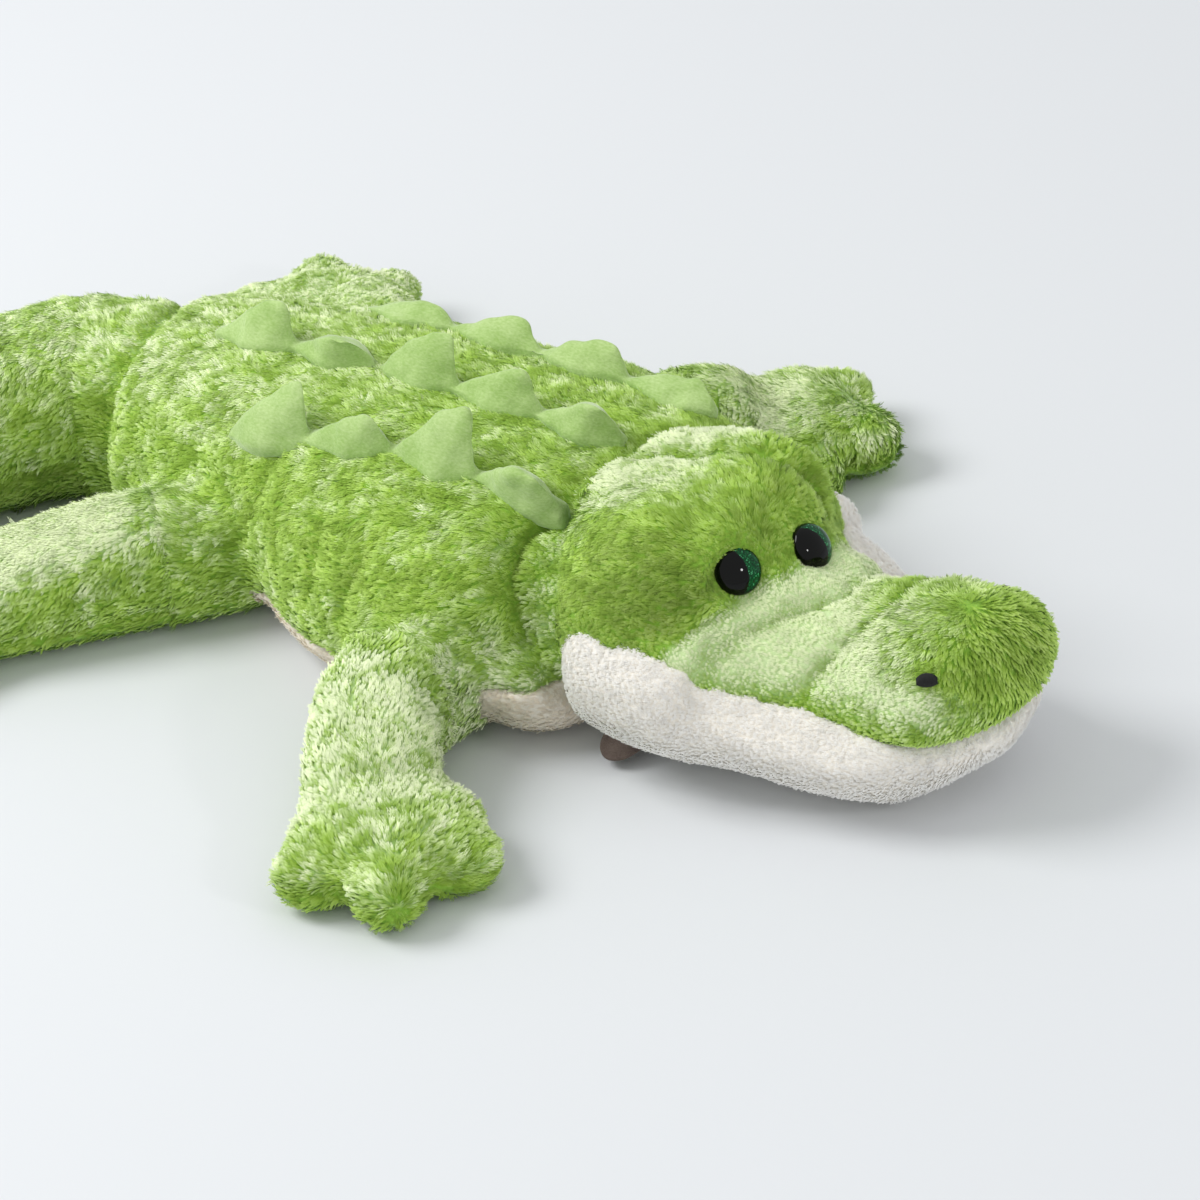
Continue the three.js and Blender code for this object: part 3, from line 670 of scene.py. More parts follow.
trunk_trees = [tree_of(torso_form), tree_of(neck_form()), tree_of(belly_bulge)]
limb_trees = {name: [tree_of(form) for form in leg_forms(name)] for name in leg_names}
limb_trees["tail"] = [tree_of(form) for form in tail_forms]
limb_lines = {name: leg_line(name) for name in leg_names}
limb_lines["tail"] = tail_line
cut_at = {"front_right": 34, "front_left": 34, "rear_right": 32, "rear_left": 32, "tail": 42}

# %% Cut the limbs off the body
import bmesh


def limb_plane(name):
    line = limb_lines[name]
    share = cut_at[name] / line.length
    tangent = line.tangent(share)
    tangent[2] = 0
    return line.point(share), tangent / np.linalg.norm(tangent)


SEAM_AT_RUMP, SEAM_AT_NECK = 6, 34
CLEAN_CUT = 1e-7


def belly_seam_height(x):
    return SEAM_AT_RUMP + (SEAM_AT_NECK - SEAM_AT_RUMP) * (x - rump_x) / torso_length


def cut_across(work, geometry, place, normal):
    bmesh.ops.bisect_plane(work, geom=geometry, plane_co=place, plane_no=normal, dist=CLEAN_CUT)


planes = {name: limb_plane(name) for name in limb_lines}
work = bmesh.new()
work.from_mesh(body.data)
for at, along in planes.values():
    near = [f for f in work.faces if (f.calc_center_median() / MM - Vector(at)).length < 110]
    edges = {e for f in near for e in f.edges}
    verts = {v for f in near for v in f.verts}
    cut_across(work, [*verts, *edges, *near], Vector(at) * MM, Vector(along))
seam_rise = math.atan2(SEAM_AT_NECK - SEAM_AT_RUMP, torso_length)
seam_normal = Vector((-math.sin(seam_rise), 0, math.cos(seam_rise)))
seam_point = Vector((0, 0, belly_seam_height(0))) * MM
cut_across(work, [*work.verts, *work.edges, *work.faces], seam_point, seam_normal)
part_names = ["torso", "belly", *limb_lines]
owner = []
for face in work.faces:
    centre = face.calc_center_median() / MM
    owned = "torso"
    closest = distance(trunk_trees, centre)
    for name, (at, along) in planes.items():
        if (centre - Vector(at)).dot(Vector(along)) > 0:
            away = distance(limb_trees[name], centre)
            if away < closest:
                owned, closest = name, away
    if owned == "torso" and (centre * MM - seam_point).dot(seam_normal) < 0:
        if min(distance(trees, centre) for trees in limb_trees.values()) > closest - 1:
            owned = "belly"
    owner.append(part_names.index(owned))
tag_layer = work.faces.layers.int.new("owner")
for face, index in zip(work.faces, owner):
    face[tag_layer] = index
work.to_mesh(body.data)
work.free()
print({name: owner.count(i) for i, name in enumerate(part_names)}, "faces")

# %% [markdown]
# ## Seams, folds and the room for the pile
# Where two panels are sewn together the cloth is pulled in, and on long pile this is what makes a seam
# visible: a dark parting. Every point of a skin moves in by the depth of its pile, so that the finished fur
# ends where the solid model ends, and a few millimetres more along each seam. The same pass writes what the
# fur needs to know at each point: how long and how dense it is, which way it is combed, and how pale its
# tips are. That paleness also carries painted light and shade. It is raised on tops and on the shaded low
# front, and lowered in folds, in grooves, under the side seams and on sides turned away from the lamp, so
# that these parts are painted darker.

# %% Smooth steps and parting lines
def ramp(values, start, end):
    k = np.clip((values - start) / (end - start), 0, 1)
    return k * k * (3 - 2 * k)


def ridge(values, width):
    return np.exp(-((values / width) ** 2))


def tangent_to(normals, directions):
    flat = directions - normals * (directions * normals).sum(axis=1, keepdims=True)
    return flat / np.maximum(np.linalg.norm(flat, axis=1, keepdims=True), 1e-6)


def along_line(line, points):
    """For each point: a line's direction beside it, the way aside from it, and how far past its end."""
    shares = np.linspace(0, 1, 60)
    samples = np.array([line.point(t) for t in shares])
    tangents = np.array([line.tangent(t) for t in shares])
    gaps = ((points[:, None, :2] - samples[None, :, :2]) ** 2).sum(axis=2)
    nearest = gaps.argmin(axis=1)
    at_end = nearest == len(shares) - 1
    beyond = np.linalg.norm(points[:, :2] - samples[-1, :2], axis=1) * at_end
    return tangents[nearest], points[:, :2] - samples[nearest, :2], beyond


def wrinkles(points, size, seed):
    return np.array([noise.noise(Vector(p) / size + Vector((seed, 0, 0))) for p in points])


# %% Comb and shape the body skin
PILE_ROOM = 3.2
body_points = points_of(body)
body_normals = normals_of(body)
count = len(body_points)
vertex_owner = np.zeros((count, len(part_names)), dtype=bool)
owner_of_face = read_rows(body.data.attributes["owner"].data, "value", 1, np.int32)[:, 0]
for polygon, index in zip(body.data.polygons, owner_of_face):
    vertex_owner[list(polygon.vertices), index] = True
comb = np.tile([-1.0, 0.0, -0.1], (count, 1))
aside_of_back = body_points[:, 1] + 9
comb[:, 1] = 0.5 * np.sign(aside_of_back) * ramp(np.abs(aside_of_back), 0, 60)
fur = np.ones(count)
thick = np.ones(count)
facing_up = ramp(body_normals[:, 2], 0.3, 0.95)
# Tops are paler, more so towards the rump: painted light from above, over the base paleness of the pile.
pale = 0.1 + facing_up * (0.04 + 0.22 * ramp(-body_points[:, 0], -60, 120))
press = np.full(count, PILE_ROOM)
back_ends = [rump_x, rump_x + torso_length]
seam_height = np.interp(body_points[:, 0], back_ends, [SEAM_AT_RUMP, SEAM_AT_NECK])
# Further out from the body each leg is paler, by its own share or where it faces up, and a little paler at
# the toes: painted light.
leg_paleness_and_light = {"front_right": 0.52, "front_left": 0.6, "rear_left": 0.15}
tail_seam_x, tail_middle_y = -144, -5
for name in limb_lines:
    mine = vertex_owner[:, part_names.index(name)]
    direction, aside, beyond = along_line(limb_lines[name], body_points)
    outward = np.hstack([aside, np.zeros((count, 1))]) / 40
    towards_root = {"front_right": -0.9, "front_left": -0.5}.get(name, 0.6)
    comb[mine] = (direction * towards_root + outward * 0.5 + [0, 0, -0.2])[mine]
    side_seam = 32 if name == "tail" else 15
    # Below the side seam each leg and the tail are darker: painted shade on their undersides.
    below = 1 - ramp(body_points[:, 2], side_seam - 4, side_seam + 2)
    pale -= (0.9 if name == "tail" else 0.45) * below * mine
    press += np.where(mine, 3.0 * ridge(body_points[:, 2] - side_seam, 3.5), 0)
    at, along = planes[name]
    further = mine * ramp((body_points - at) @ along, 0, 26)
    if name != "tail":
        toe_end = ramp(beyond, -8, 42) * mine
        fur += 0.12 * toe_end - (0.35 * mine if name == "rear_left" else 0)
        leg_pale_and_light = leg_paleness_and_light.get(name, 0.58 * facing_up)
        pale += leg_pale_and_light * further * (1 - toe_end) + 0.1 * toe_end
    else:
        off_middle = body_points[:, 1] - tail_middle_y
        root = ridge(body_points[:, 0] - tail_seam_x + 0.005 * off_middle**2, 5)
        root *= ramp(body_points[:, 2], 15, 30) * (1 - ramp(np.abs(off_middle), 50, 60))
        press += 5.0 * root
        # The groove at the tail's root is also darker: painted shade.
        pale -= 0.35 * root
comb = tangent_to(body_normals, comb)
# The low front of the torso, in the shadow of the head, is made paler: painted light.
low_front = (1 - ramp(body_points[:, 2], 40, 75)) * ramp(body_points[:, 0], 40, 100)
pale += 0.4 * low_front * vertex_owner[:, 0]
near_side = ramp(-body_normals[:, 1], 0.3, 0.8) * vertex_owner[:, 0] * (1 - ramp(body_points[:, 0], 95, 115))
# The near side of the torso is darker high up and towards the rear: painted shade.
pale -= 0.22 * near_side * ramp(body_points[:, 2], 55, 80) * ramp(body_points[:, 0], -70, -30)
side_folds = np.zeros(count)
for fold_x, lean in ((-38, 0.3), (-9, -0.15), (18, 0.1), (43, 0.35)):
    side_folds += ridge(body_points[:, 0] - fold_x - lean * (body_points[:, 2] - 60), 4)
side_folds *= near_side * ramp(body_points[:, 2], 38, 58) * (1 - ramp(body_points[:, 2], 84, 104))
press += 3.2 * side_folds
# The folds are darker as well: painted shade in them.
pale -= 0.3 * side_folds
seam_parting = ridge(body_points[:, 2] - seam_height, 4) * vertex_owner[:, :2].any(axis=1)
press += 2.5 * seam_parting
is_belly = vertex_owner[:, 1] & ~vertex_owner[:, 0]
fur[is_belly] = 1.1
thick[is_belly] = 0.5
press[is_belly] = 2.5
facing_down = ramp(-body_normals[:, 2], 0.35, 0.8)
press *= 1 - 0.7 * facing_down
thick *= 1 - 0.75 * facing_down * (body_points[:, 2] < 12)
hood_trees = [tree_of(in_head(form)) for form in (head_form(), *brow_forms)]
jaw_tree = [tree_of(in_head(jaw_form))]
HEAD_LEAST = -10
turned_back = turned(body_points - np.array(neck_at), -HEAD_LEAST) + np.array(neck_at)
for i in np.nonzero(body_points[:, 0] > 90)[0]:
    hidden = max(depth_inside(hood_trees, body_points[i]), depth_inside(jaw_tree, body_points[i]))
    if hidden > 0:
        fur[i] *= 1 - 0.45 * min(hidden / 6, 1)
        thick[i] *= 1 - min(max((hidden - 14) / 10, 0), 1)
        press[i] += 4
    else:
        shut = math.exp(-((distance(hood_trees, body_points[i]) / 10) ** 2))
        met = max(depth_inside(hood_trees, turned_back[i]), depth_inside(jaw_tree, turned_back[i]), 0)
        press[i] += max(6.5 * shut, min(met + 2, 8.0) if met > 0 else 0)
        fur[i] *= 1 - 0.4 * min(met / 5, 1)
        # Beside the hood the pile is darker: painted shade in the groove there.
        pale[i] -= 0.35 * shut
pale += 0.5 * wrinkles(body_points, 8, 4)
folds = wrinkles(body_points, 28, 3) * 1.7 + wrinkles(body_points, 11, 9) * 1.3
set_points(body, body_points - body_normals * (press + folds * (1 - facing_down))[:, None])


def keep_fields(made, fur, thick, pale, comb):
    """Writes at each point how long and dense the fur is, how pale it is with its painted light and shade,
    and which way it is combed.
    """
    for name, values in (("fur", fur), ("thick", thick), ("pale", pale)):
        layer = made.data.attributes.new(name, "FLOAT", "POINT")
        layer.data.foreach_set("value", np.asarray(values, dtype=np.float32))
    layer = made.data.attributes.new("comb", "FLOAT_VECTOR", "POINT")
    layer.data.foreach_set("vector", np.asarray(comb, dtype=np.float32).ravel())


keep_fields(body, fur, thick, pale, comb)
print("body skin shaped,", count, "points")

# %% Comb and shape the head skin
head_points = points_of(head)
head_normals = normals_of(head)
local = to_head(head_points)
u, w = local[:, 0], local[:, 2]
v = local[:, 1] - np.interp(u, head_places, head_sways)
face_lean = math.radians(38)
face_away = (u - 117) * math.cos(face_lean) - (w - 95) * math.sin(face_lean)
head_press = np.full(len(u), PILE_ROOM)
face_seam = ridge(face_away + 4, 5) * ramp(w, 40, 70)
head_press += 2.0 * face_seam
under_eyes = ridge(face_away - 7, 4) * ramp(w, 40, 70)
under_eyes *= 1 - 0.7 * ramp(v, 4, 14)
head_press += 4.5 * under_eyes - 2.0 * ridge(face_away - 17, 8) * ramp(w, 50, 75)
groove_at, groove_way, groove_length = (42, 8), (38, 25), 45.5
beyond_groove = ((v - groove_at[1]) * groove_way[0] - (u - groove_at[0]) * groove_way[1]) / groove_length
on_crown = ramp(w, 84, 100) * (1 - ramp(face_away, -10, 4))
brow_groove = ridge(beyond_groove, 5) * on_crown * ramp(u, 14, 34)
head_press += 8.0 * brow_groove - 2.5 * ridge(beyond_groove - 13, 8) * on_crown
creases = np.zeros(len(u))
for crease_u, bend, depth in ((148, 0.35, 4.6), (174, 0.2, 5.0)):
    crease = ridge(u - crease_u + bend * np.abs(v), 4)
    creases += crease * ramp(w, 40, 66)
    head_press += depth * crease * ramp(w, 40, 66)
on_snout = ramp(face_away, 0, 10)
head_press += wrinkles(head_points, 24, 5) * 1.9 + wrinkles(head_points, 10, 8) * (1.4 - 0.9 * on_snout)
nose_top = np.array([202, 28, 93])
from_nose = local - nose_top
nose_near = 1 - ramp(np.linalg.norm(from_nose, axis=1), 38, 62)
head_comb = np.stack([np.full(len(u), -0.8), 0.012 * v, np.full(len(u), -0.35)], axis=1)
head_comb = head_comb * (1 - nose_near[:, None]) + from_nose / 40 * nose_near[:, None]
head_comb = tangent_to(head_normals, turned(head_comb, HEAD_TURN))
head_fur = 0.95 - 0.45 * on_snout * (1 - nose_near) * ramp(w, 50, 72) + 0.15 * nose_near
head_pale_light_and_shade = 0.05 + 0.9 * on_snout * (1 - nose_near) * ramp(w, 52, 72)
# The rest of the paleness is painted light and shade. Painted light: the near side of the nose and the tops
# of the hood are paler. Painted shade: the near side of the hood, the creases, the groove under the eyes, the
# brow groove, the nose's front and the brow's front are darker. A band across the nose is also made paler.
head_pale_light_and_shade += 0.22 * on_snout * nose_near * ramp(-v, -8, 16)
head_pale_light_and_shade += 0.75 * ramp(head_normals[:, 2], 0.4, 0.95) * (1 - on_snout) * (1 - ramp(u, 45, 85))
head_pale_light_and_shade -= 0.46 * ramp(-v, 25, 50) * (1 - on_snout) * ramp(w, 45, 70)
head_pale_light_and_shade -= 0.3 * creases + 0.2 * under_eyes + 0.55 * brow_groove
head_pale_light_and_shade += 0.3 * on_snout * nose_near * ridge(u - 178, 14)
head_pale_light_and_shade -= 0.6 * nose_near * ramp(u, 200, 232)
head_pale_light_and_shade -= 0.35 * ridge(face_away + 16, 18) * ramp(w, 76, 92) + 0.3 * face_seam
neck_tree = [tree_of(neck_form(3))]
head_thick = np.ones(len(u))
for i in np.nonzero(head_points[:, 0] < 225)[0]:
    if depth_inside(neck_tree, head_points[i]) > 0:
        head_thick[i] = 0
        head_press[i] = 0
for i in np.nonzero((w < 90) & (head_thick > 0))[0]:
    beside = math.exp(-((distance(jaw_tree, head_points[i]) / 9) ** 2))
    head_press[i] += (1.6 - head_press[i]) * beside
    head_fur[i] *= 1 - 0.45 * beside
face_sway = -0.035 * head_width
eye_places = {
    "right": (-1, (111, -20 + face_sway, 98)),
    "left": (1, (115, 20 + face_sway, 92)),
}


def about(axis, degrees):
    return Matrix.Rotation(math.radians(degrees), 4, axis)


def eye_turn(side):
    """From an eye's own axis to the head's: up from level, then outwards to its side."""
    outwards, upwards = 16, 34
    return about("Z", side * outwards) @ about("Y", 90 - upwards)


for side, at in eye_places.values():
    away = np.linalg.norm(local - np.array(at), axis=1)
    above = ramp(local[:, 2] - at[2] - 0.5 * (local[:, 0] - at[0]), 2, 10)
    falling = above * (1 - ramp(away, 13, 26))
    towards = (np.array(at) - local) / np.maximum(away, 1)[:, None]
    head_comb += 0.7 * falling[:, None] * turned(towards, HEAD_TURN)
    head_thick *= ramp(away, 9.8, 11.4)
    head_fur *= 0.35 + 0.65 * np.maximum(ramp(away, 12, 26), 0.25 * above)
    head_press -= (head_press - 0.4) * ridge(np.maximum(away - 14, 0), 9)
head_comb = tangent_to(head_normals, head_comb)
head_pale_light_and_shade += 0.6 * wrinkles(head_points, 7, 12) * (1 - 0.6 * on_snout)
head_points = head_points - head_normals * head_press[:, None]
for side, at in eye_places.values():
    turn = eye_turn(side).to_3x3()
    axis = np.array(turn @ Vector((0, 0, 1)))
    local = to_head(head_points) - np.array(at)
    height = local @ axis
    radius = np.linalg.norm(local - height[:, None] * axis, axis=1)
    near = (radius < 26) & (np.abs(height) < 24)
    in_front = np.array(turn @ Vector((1, 0, 0)))
    lower_edge = 0 if side < 0 else 4.5 * ramp(local @ in_front, 2, 9)
    lid = 3.4 * ramp(-(local @ in_front), 3.5, 9)
    pocket_radius = 12
    highest = 0.2 + 1.1 * np.maximum(radius - pocket_radius + lower_edge, 0) + lid
    lowest = -1.6 - 1.1 * np.maximum(radius - pocket_radius, 0)
    moved = np.where(near, np.clip(height, lowest, highest) - height, 0)
    head_points = head_points + moved[:, None] * turned(axis, HEAD_TURN)
set_points(head, head_points)
keep_fields(head, head_fur, head_thick, head_pale_light_and_shade, head_comb)
print("head skin shaped,", len(head_points), "points")

# %% Comb and shape the jaw skin
jaw_points = points_of(jaw)
jaw_normals = normals_of(jaw)
jaw_local = to_head(jaw_points)
jaw_press = 0.4 + wrinkles(jaw_points, 30, 2) * 1.6 + wrinkles(jaw_points, 12, 4) * 0.5
tuck = 0.24 * (1 - ramp(jaw_points[:, 2], 1, 42)) * ramp(jaw_local[:, 0], 70, 150)
jaw_middle = np.stack([np.minimum(jaw_local[:, 0], 168), np.zeros(len(tuck)), jaw_local[:, 2]], axis=1)
jaw_thick = np.ones(len(jaw_points))
snout_trees = [tree_of(in_head(head_form(-1.5)))]
for i, point in enumerate(jaw_points):
    if depth_inside(snout_trees, point) > 0.5 or depth_inside(neck_tree, point) > 0.5:
        jaw_thick[i] = 0
        jaw_press[i] = 0
jaw_down = ramp(-jaw_normals[:, 2], 0.4, 0.85)
jaw_thick *= 1 - 0.7 * jaw_down * (jaw_points[:, 2] < 10)
jaw_press *= 1 - 0.8 * jaw_down
level = np.ones(len(jaw_points))
jaw_comb = np.stack([-0.8 * level, 0.01 * jaw_local[:, 1], -0.3 * level], axis=1)
jaw_comb = tangent_to(jaw_normals, turned(jaw_comb, HEAD_TURN))
tucked = turned((jaw_middle - jaw_local) * tuck[:, None], HEAD_TURN)
set_points(jaw, jaw_points - jaw_normals * jaw_press[:, None] + tucked)
keep_fields(jaw, level, jaw_thick, 0.5 * level, jaw_comb)
print("jaw skin shaped,", len(jaw_points), "points")

# %% Skins as closed pieces
NO_PILE = -8


def part_of(source, name, wanted):
    """The wanted faces of a skin as a closed piece: its cut edges are filled like a sewn-in disc."""
    work = bmesh.new()
    work.from_mesh(source.data)
    layer = work.faces.layers.int["owner"]
    bmesh.ops.delete(work, geom=[f for f in work.faces if f[layer] != wanted], context="FACES")
    bmesh.ops.holes_fill(work, edges=[e for e in work.edges if e.is_boundary])
    flat = [f for f in work.faces if len(f.verts) > 4]
    thick_layer = work.verts.layers.float.get("thick")
    poked = bmesh.ops.poke(work, faces=flat)
    for vert in poked["verts"]:
        vert[thick_layer] = NO_PILE
    mesh = bpy.data.meshes.new(name)
    work.to_mesh(mesh)
    work.free()
    made = bpy.data.objects.new(name, mesh)
    bpy.context.scene.collection.objects.link(made)
    return made


skins = {name: part_of(body, f"{name}_cloth", i) for i, name in enumerate(part_names)}
bpy.data.objects.remove(body)
skins["head"] = head
skins["jaw"] = jaw
head.name, jaw.name = "head_cloth", "jaw_cloth"
for name, skin in skins.items():
    skin.data.shade_smooth()
    print(skin.name, len(skin.data.polygons), "faces")

# %% [markdown]
# ## Finishes
# Long pile has no single colour. Each fibre is bleached at its tip, so the toy looks pale where the pile
# lies flat and saturated where it parts, and it is painted darker at its root: painted shade deep in the
# pile. The colour is therefore mixed along each fibre, from a number that every fibre carries. The skin's
# paleness number, which carries painted light and shade, lightens the tips further and darkens the whole
# fibre where it is below zero. The mixing is a node group, placed in each pile's own material with its own
# dyes.

# %% Helpers for node trees
def add(tree, kind, inputs=None, **settings):
    made = tree.nodes.new(kind)
    for name, value in settings.items():
        setattr(made, name, value)
    for name, value in (inputs or {}).items():
        if isinstance(value, bpy.types.NodeSocket):
            tree.links.new(value, made.inputs[name])
        else:
            made.inputs[name].default_value = value
    return made


def math_node(tree, operation, a, b=0.0, clamp=False):
    return add(tree, "ShaderNodeMath", {0: a, 1: b}, operation=operation, use_clamp=clamp).outputs[0]


def mixed(tree, factor, a, b, blend="MIX"):
    return add(tree, "ShaderNodeMix", {0: factor, 6: a, 7: b}, data_type="RGBA", blend_type=blend).outputs[2]


def spread(tree, value, low, high, to_low=0.0, to_high=1.0):
    return add(tree, "ShaderNodeMapRange", {0: value, 1: low, 2: high, 3: to_low, 4: to_high}).outputs[0]


def linear(red, green, blue):
    def channel(value):
        share = value / 255
        return share / 12.92 if share <= 0.04045 else ((share + 0.055) / 1.055) ** 2.4

    return (channel(red), channel(green), channel(blue), 1)


COLOUR, NUMBER, WHOLE = "NodeSocketColor", "NodeSocketFloat", "NodeSocketInt"
GEOMETRY, MATERIAL, OBJECT = "NodeSocketGeometry", "NodeSocketMaterial", "NodeSocketObject"


def new_group(name, inputs, outputs, kind_of_tree="ShaderNodeTree"):
    group = bpy.data.node_groups.new(name, kind_of_tree)
    for label, kind in inputs:
        group.interface.new_socket(label, in_out="INPUT", socket_type=kind)
    for label, kind in outputs:
        group.interface.new_socket(label, in_out="OUTPUT", socket_type=kind)
    return group, group.nodes.new("NodeGroupInput").outputs, group.nodes.new("NodeGroupOutput").inputs


# %% Dye, painted light and painted shade along a fibre
dye_light_and_shade, dye_light_and_shade_in, dye_light_and_shade_out = new_group(
    "dye_along_fibre",
    [("Root", COLOUR), ("Middle", COLOUR), ("Tip", COLOUR), ("Bleach", NUMBER), ("Contrast", NUMBER)],
    [("Color", COLOUR)],
)
along_fibre = add(dye_light_and_shade, "ShaderNodeAttribute", attribute_name="along").outputs["Fac"]
tone = add(dye_light_and_shade, "ShaderNodeAttribute", attribute_name="tone").outputs["Fac"]
tone = math_node(dye_light_and_shade, "MULTIPLY", math_node(dye_light_and_shade, "SUBTRACT", tone, 0.7), dye_light_and_shade_in["Contrast"])
tone = math_node(dye_light_and_shade, "ADD", tone, 0.7)
paleness_light_and_shade = add(dye_light_and_shade, "ShaderNodeAttribute", attribute_name="pale").outputs["Fac"]
calm = spread(dye_light_and_shade, paleness_light_and_shade, 0.35, 0.95, 0.0, 0.75)
tone = math_node(dye_light_and_shade, "ADD", tone, math_node(dye_light_and_shade, "MULTIPLY", math_node(dye_light_and_shade, "SUBTRACT", 0.8, tone), calm))
# Towards its root the fibre darkens to the Root colour: painted shade deep in the pile.
lower = mixed(dye_light_and_shade, spread(dye_light_and_shade, along_fibre, 0.0, 0.3), dye_light_and_shade_in["Root"], dye_light_and_shade_in["Middle"])
faded = math_node(dye_light_and_shade, "ADD", spread(dye_light_and_shade, along_fibre, 0.3, 0.95), math_node(dye_light_and_shade, "MULTIPLY", calm, 0.4))
tip_share = math_node(dye_light_and_shade, "MULTIPLY", faded, dye_light_and_shade_in["Bleach"])
# A high paleness, partly painted light, bleaches more of the fibre.
tip_share = math_node(dye_light_and_shade, "MULTIPLY", tip_share, spread(dye_light_and_shade, paleness_light_and_shade, 0.0, 1.0, 0.15, 1.9), clamp=True)
tip_share = math_node(dye_light_and_shade, "MULTIPLY", tip_share, spread(dye_light_and_shade, tone, 0.1, 0.9, 0.1, 1.5), clamp=True)
dyed_lit_and_shaded = mixed(dye_light_and_shade, tip_share, lower, dye_light_and_shade_in["Tip"])
# A paleness below zero darkens the whole fibre: painted shade.
shadow = spread(dye_light_and_shade, paleness_light_and_shade, -1.0, 0.0, 0.55, 1.0)
brightness = math_node(dye_light_and_shade, "MULTIPLY", spread(dye_light_and_shade, tone, 0, 1, 0.66, 1.12), shadow)
hue = spread(dye_light_and_shade, tone, 0, 1, 0.506, 0.494)
shade = add(dye_light_and_shade, "ShaderNodeHueSaturation", {"Hue": hue, "Value": brightness, "Color": dyed_lit_and_shaded})
dye_light_and_shade.links.new(shade.outputs["Color"], dye_light_and_shade_out["Color"])


def pile_material(name, root, middle, tip, bleach, contrast=1.0):
    material = plain_material(name, (0.5, 0.5, 0.5), 0.8)
    tree = material.node_tree
    shader = tree.nodes["Principled BSDF"]
    shader.inputs["Specular IOR Level"].default_value = 0.25
    shader.inputs["Sheen Weight"].default_value = 0.12
    shader.inputs["Sheen Roughness"].default_value = 0.5
    colours = {"Root": linear(*root), "Middle": linear(*middle), "Tip": linear(*tip)}
    dyed_lit_and_shaded = add(tree, "ShaderNodeGroup", {**colours, "Bleach": bleach, "Contrast": contrast}, node_tree=dye_light_and_shade)
    tree.links.new(dyed_lit_and_shaded.outputs["Color"], shader.inputs["Base Color"])
    return material


# Each Root colour is darker than its Middle: painted shade deep in the pile.
green_pile = pile_material("green_pile", (140, 186, 40), (178, 220, 74), (241, 252, 208), 1.0)
cream_pile = pile_material("cream_pile", (248, 242, 229), (254, 250, 241), (255, 254, 250), 0.9, 0.3)
belly_pile = pile_material("belly_pile", (240, 222, 194), (250, 238, 216), (254, 249, 236), 0.9, 0.6)
print(len(bpy.data.materials), "materials")

# %% Nap of short cloth
nap, nap_in, nap_out = new_group(
    "short_nap",
    [("Color", COLOUR), ("Deep", COLOUR), ("Fibre Size", NUMBER), ("Stretch", NUMBER)],
    [("Color", COLOUR), ("Height", NUMBER)],
)


def noise_at(tree, place, scale, detail):
    return add(tree, "ShaderNodeTexNoise", {"Vector": place, "Scale": scale, "Detail": detail}).outputs


place = add(nap, "ShaderNodeTexCoord").outputs["Object"]
stretch = add(nap, "ShaderNodeCombineXYZ", {0: nap_in["Stretch"], 1: 1.0, 2: 1.0}).outputs[0]
stretched = add(nap, "ShaderNodeMapping", {"Vector": place, "Scale": stretch}, vector_type="POINT").outputs[0]
per_metre = math_node(nap, "DIVIDE", 1.0, nap_in["Fibre Size"])
fine = noise_at(nap, stretched, per_metre, 3.0)["Fac"]
broad = noise_at(nap, place, math_node(nap, "MULTIPLY", per_metre, 0.06), 3.0)["Fac"]
# Where the nap's bump is low its colour goes towards the second, darker colour: painted shade in the hollows
# of the cloth.
deep_shade_mask = math_node(nap, "MULTIPLY", spread(nap, fine, 0.3, 0.7), 0.55)
deep_shade_mask = math_node(nap, "ADD", deep_shade_mask, spread(nap, broad, 0.35, 0.65, 0.0, 0.45), clamp=True)
nap.links.new(mixed(nap, deep_shade_mask, nap_in["Deep"], nap_in["Color"]), nap_out["Color"])
nap.links.new(math_node(nap, "ADD", fine, math_node(nap, "MULTIPLY", broad, 1.5)), nap_out["Height"])


def nap_material(name, colour, deep_shade, fibre=0.0012, stretch=0.6, bump=0.0006, sheen=0.4, bleached=None):
    material = plain_material(name, linear(*colour)[:3], 0.85)
    tree = material.node_tree
    shader = tree.nodes["Principled BSDF"]
    shader.inputs["Specular IOR Level"].default_value = 0.2
    shader.inputs["Sheen Weight"].default_value = sheen
    shader.inputs["Sheen Roughness"].default_value = 0.4
    colours = {"Color": linear(*colour), "Deep": linear(*deep_shade)}
    cloth = add(tree, "ShaderNodeGroup", {**colours, "Fibre Size": fibre, "Stretch": stretch}, node_tree=nap)
    seen = cloth.outputs["Color"]
    # The cloth is mixed towards a pale colour by the skin's paleness, which carries painted light and shade.
    if bleached:
        paleness_light_and_shade = add(tree, "ShaderNodeAttribute", attribute_name="pale").outputs["Fac"]
        seen = mixed(tree, spread(tree, paleness_light_and_shade, 0.1, 1.0, 0.0, 0.85), seen, linear(*bleached))
    tree.links.new(seen, shader.inputs["Base Color"])
    depth = {"Height": cloth.outputs["Height"], "Strength": 0.8, "Distance": bump}
    bump_node = add(tree, "ShaderNodeBump", depth)
    tree.links.new(bump_node.outputs["Normal"], shader.inputs["Normal"])
    return material


# The second colour of each cloth is painted shade in the hollows of its nap.
green_backing = nap_material("green_backing", (156, 202, 76), (122, 168, 50), bleached=(226, 244, 192))
cream_backing = nap_material("cream_backing", (252, 249, 242), (244, 238, 226))
belly_backing = nap_material("belly_backing", (250, 244, 232), (236, 226, 208))
velour = nap_material("green_velour", (192, 216, 148), (150, 184, 98), 0.0009, 0.5, 0.0003, 0.5)
brown_felt = nap_material("brown_felt", (118, 104, 96), (88, 76, 70), 0.0007, 1.0, 0.0005, 0.2)
washer_plastic = nap_material("washer_plastic", (224, 224, 222), (208, 208, 206), 0.003, 1.0, 0.00005, 0.0)
print(len(bpy.data.materials), "materials")

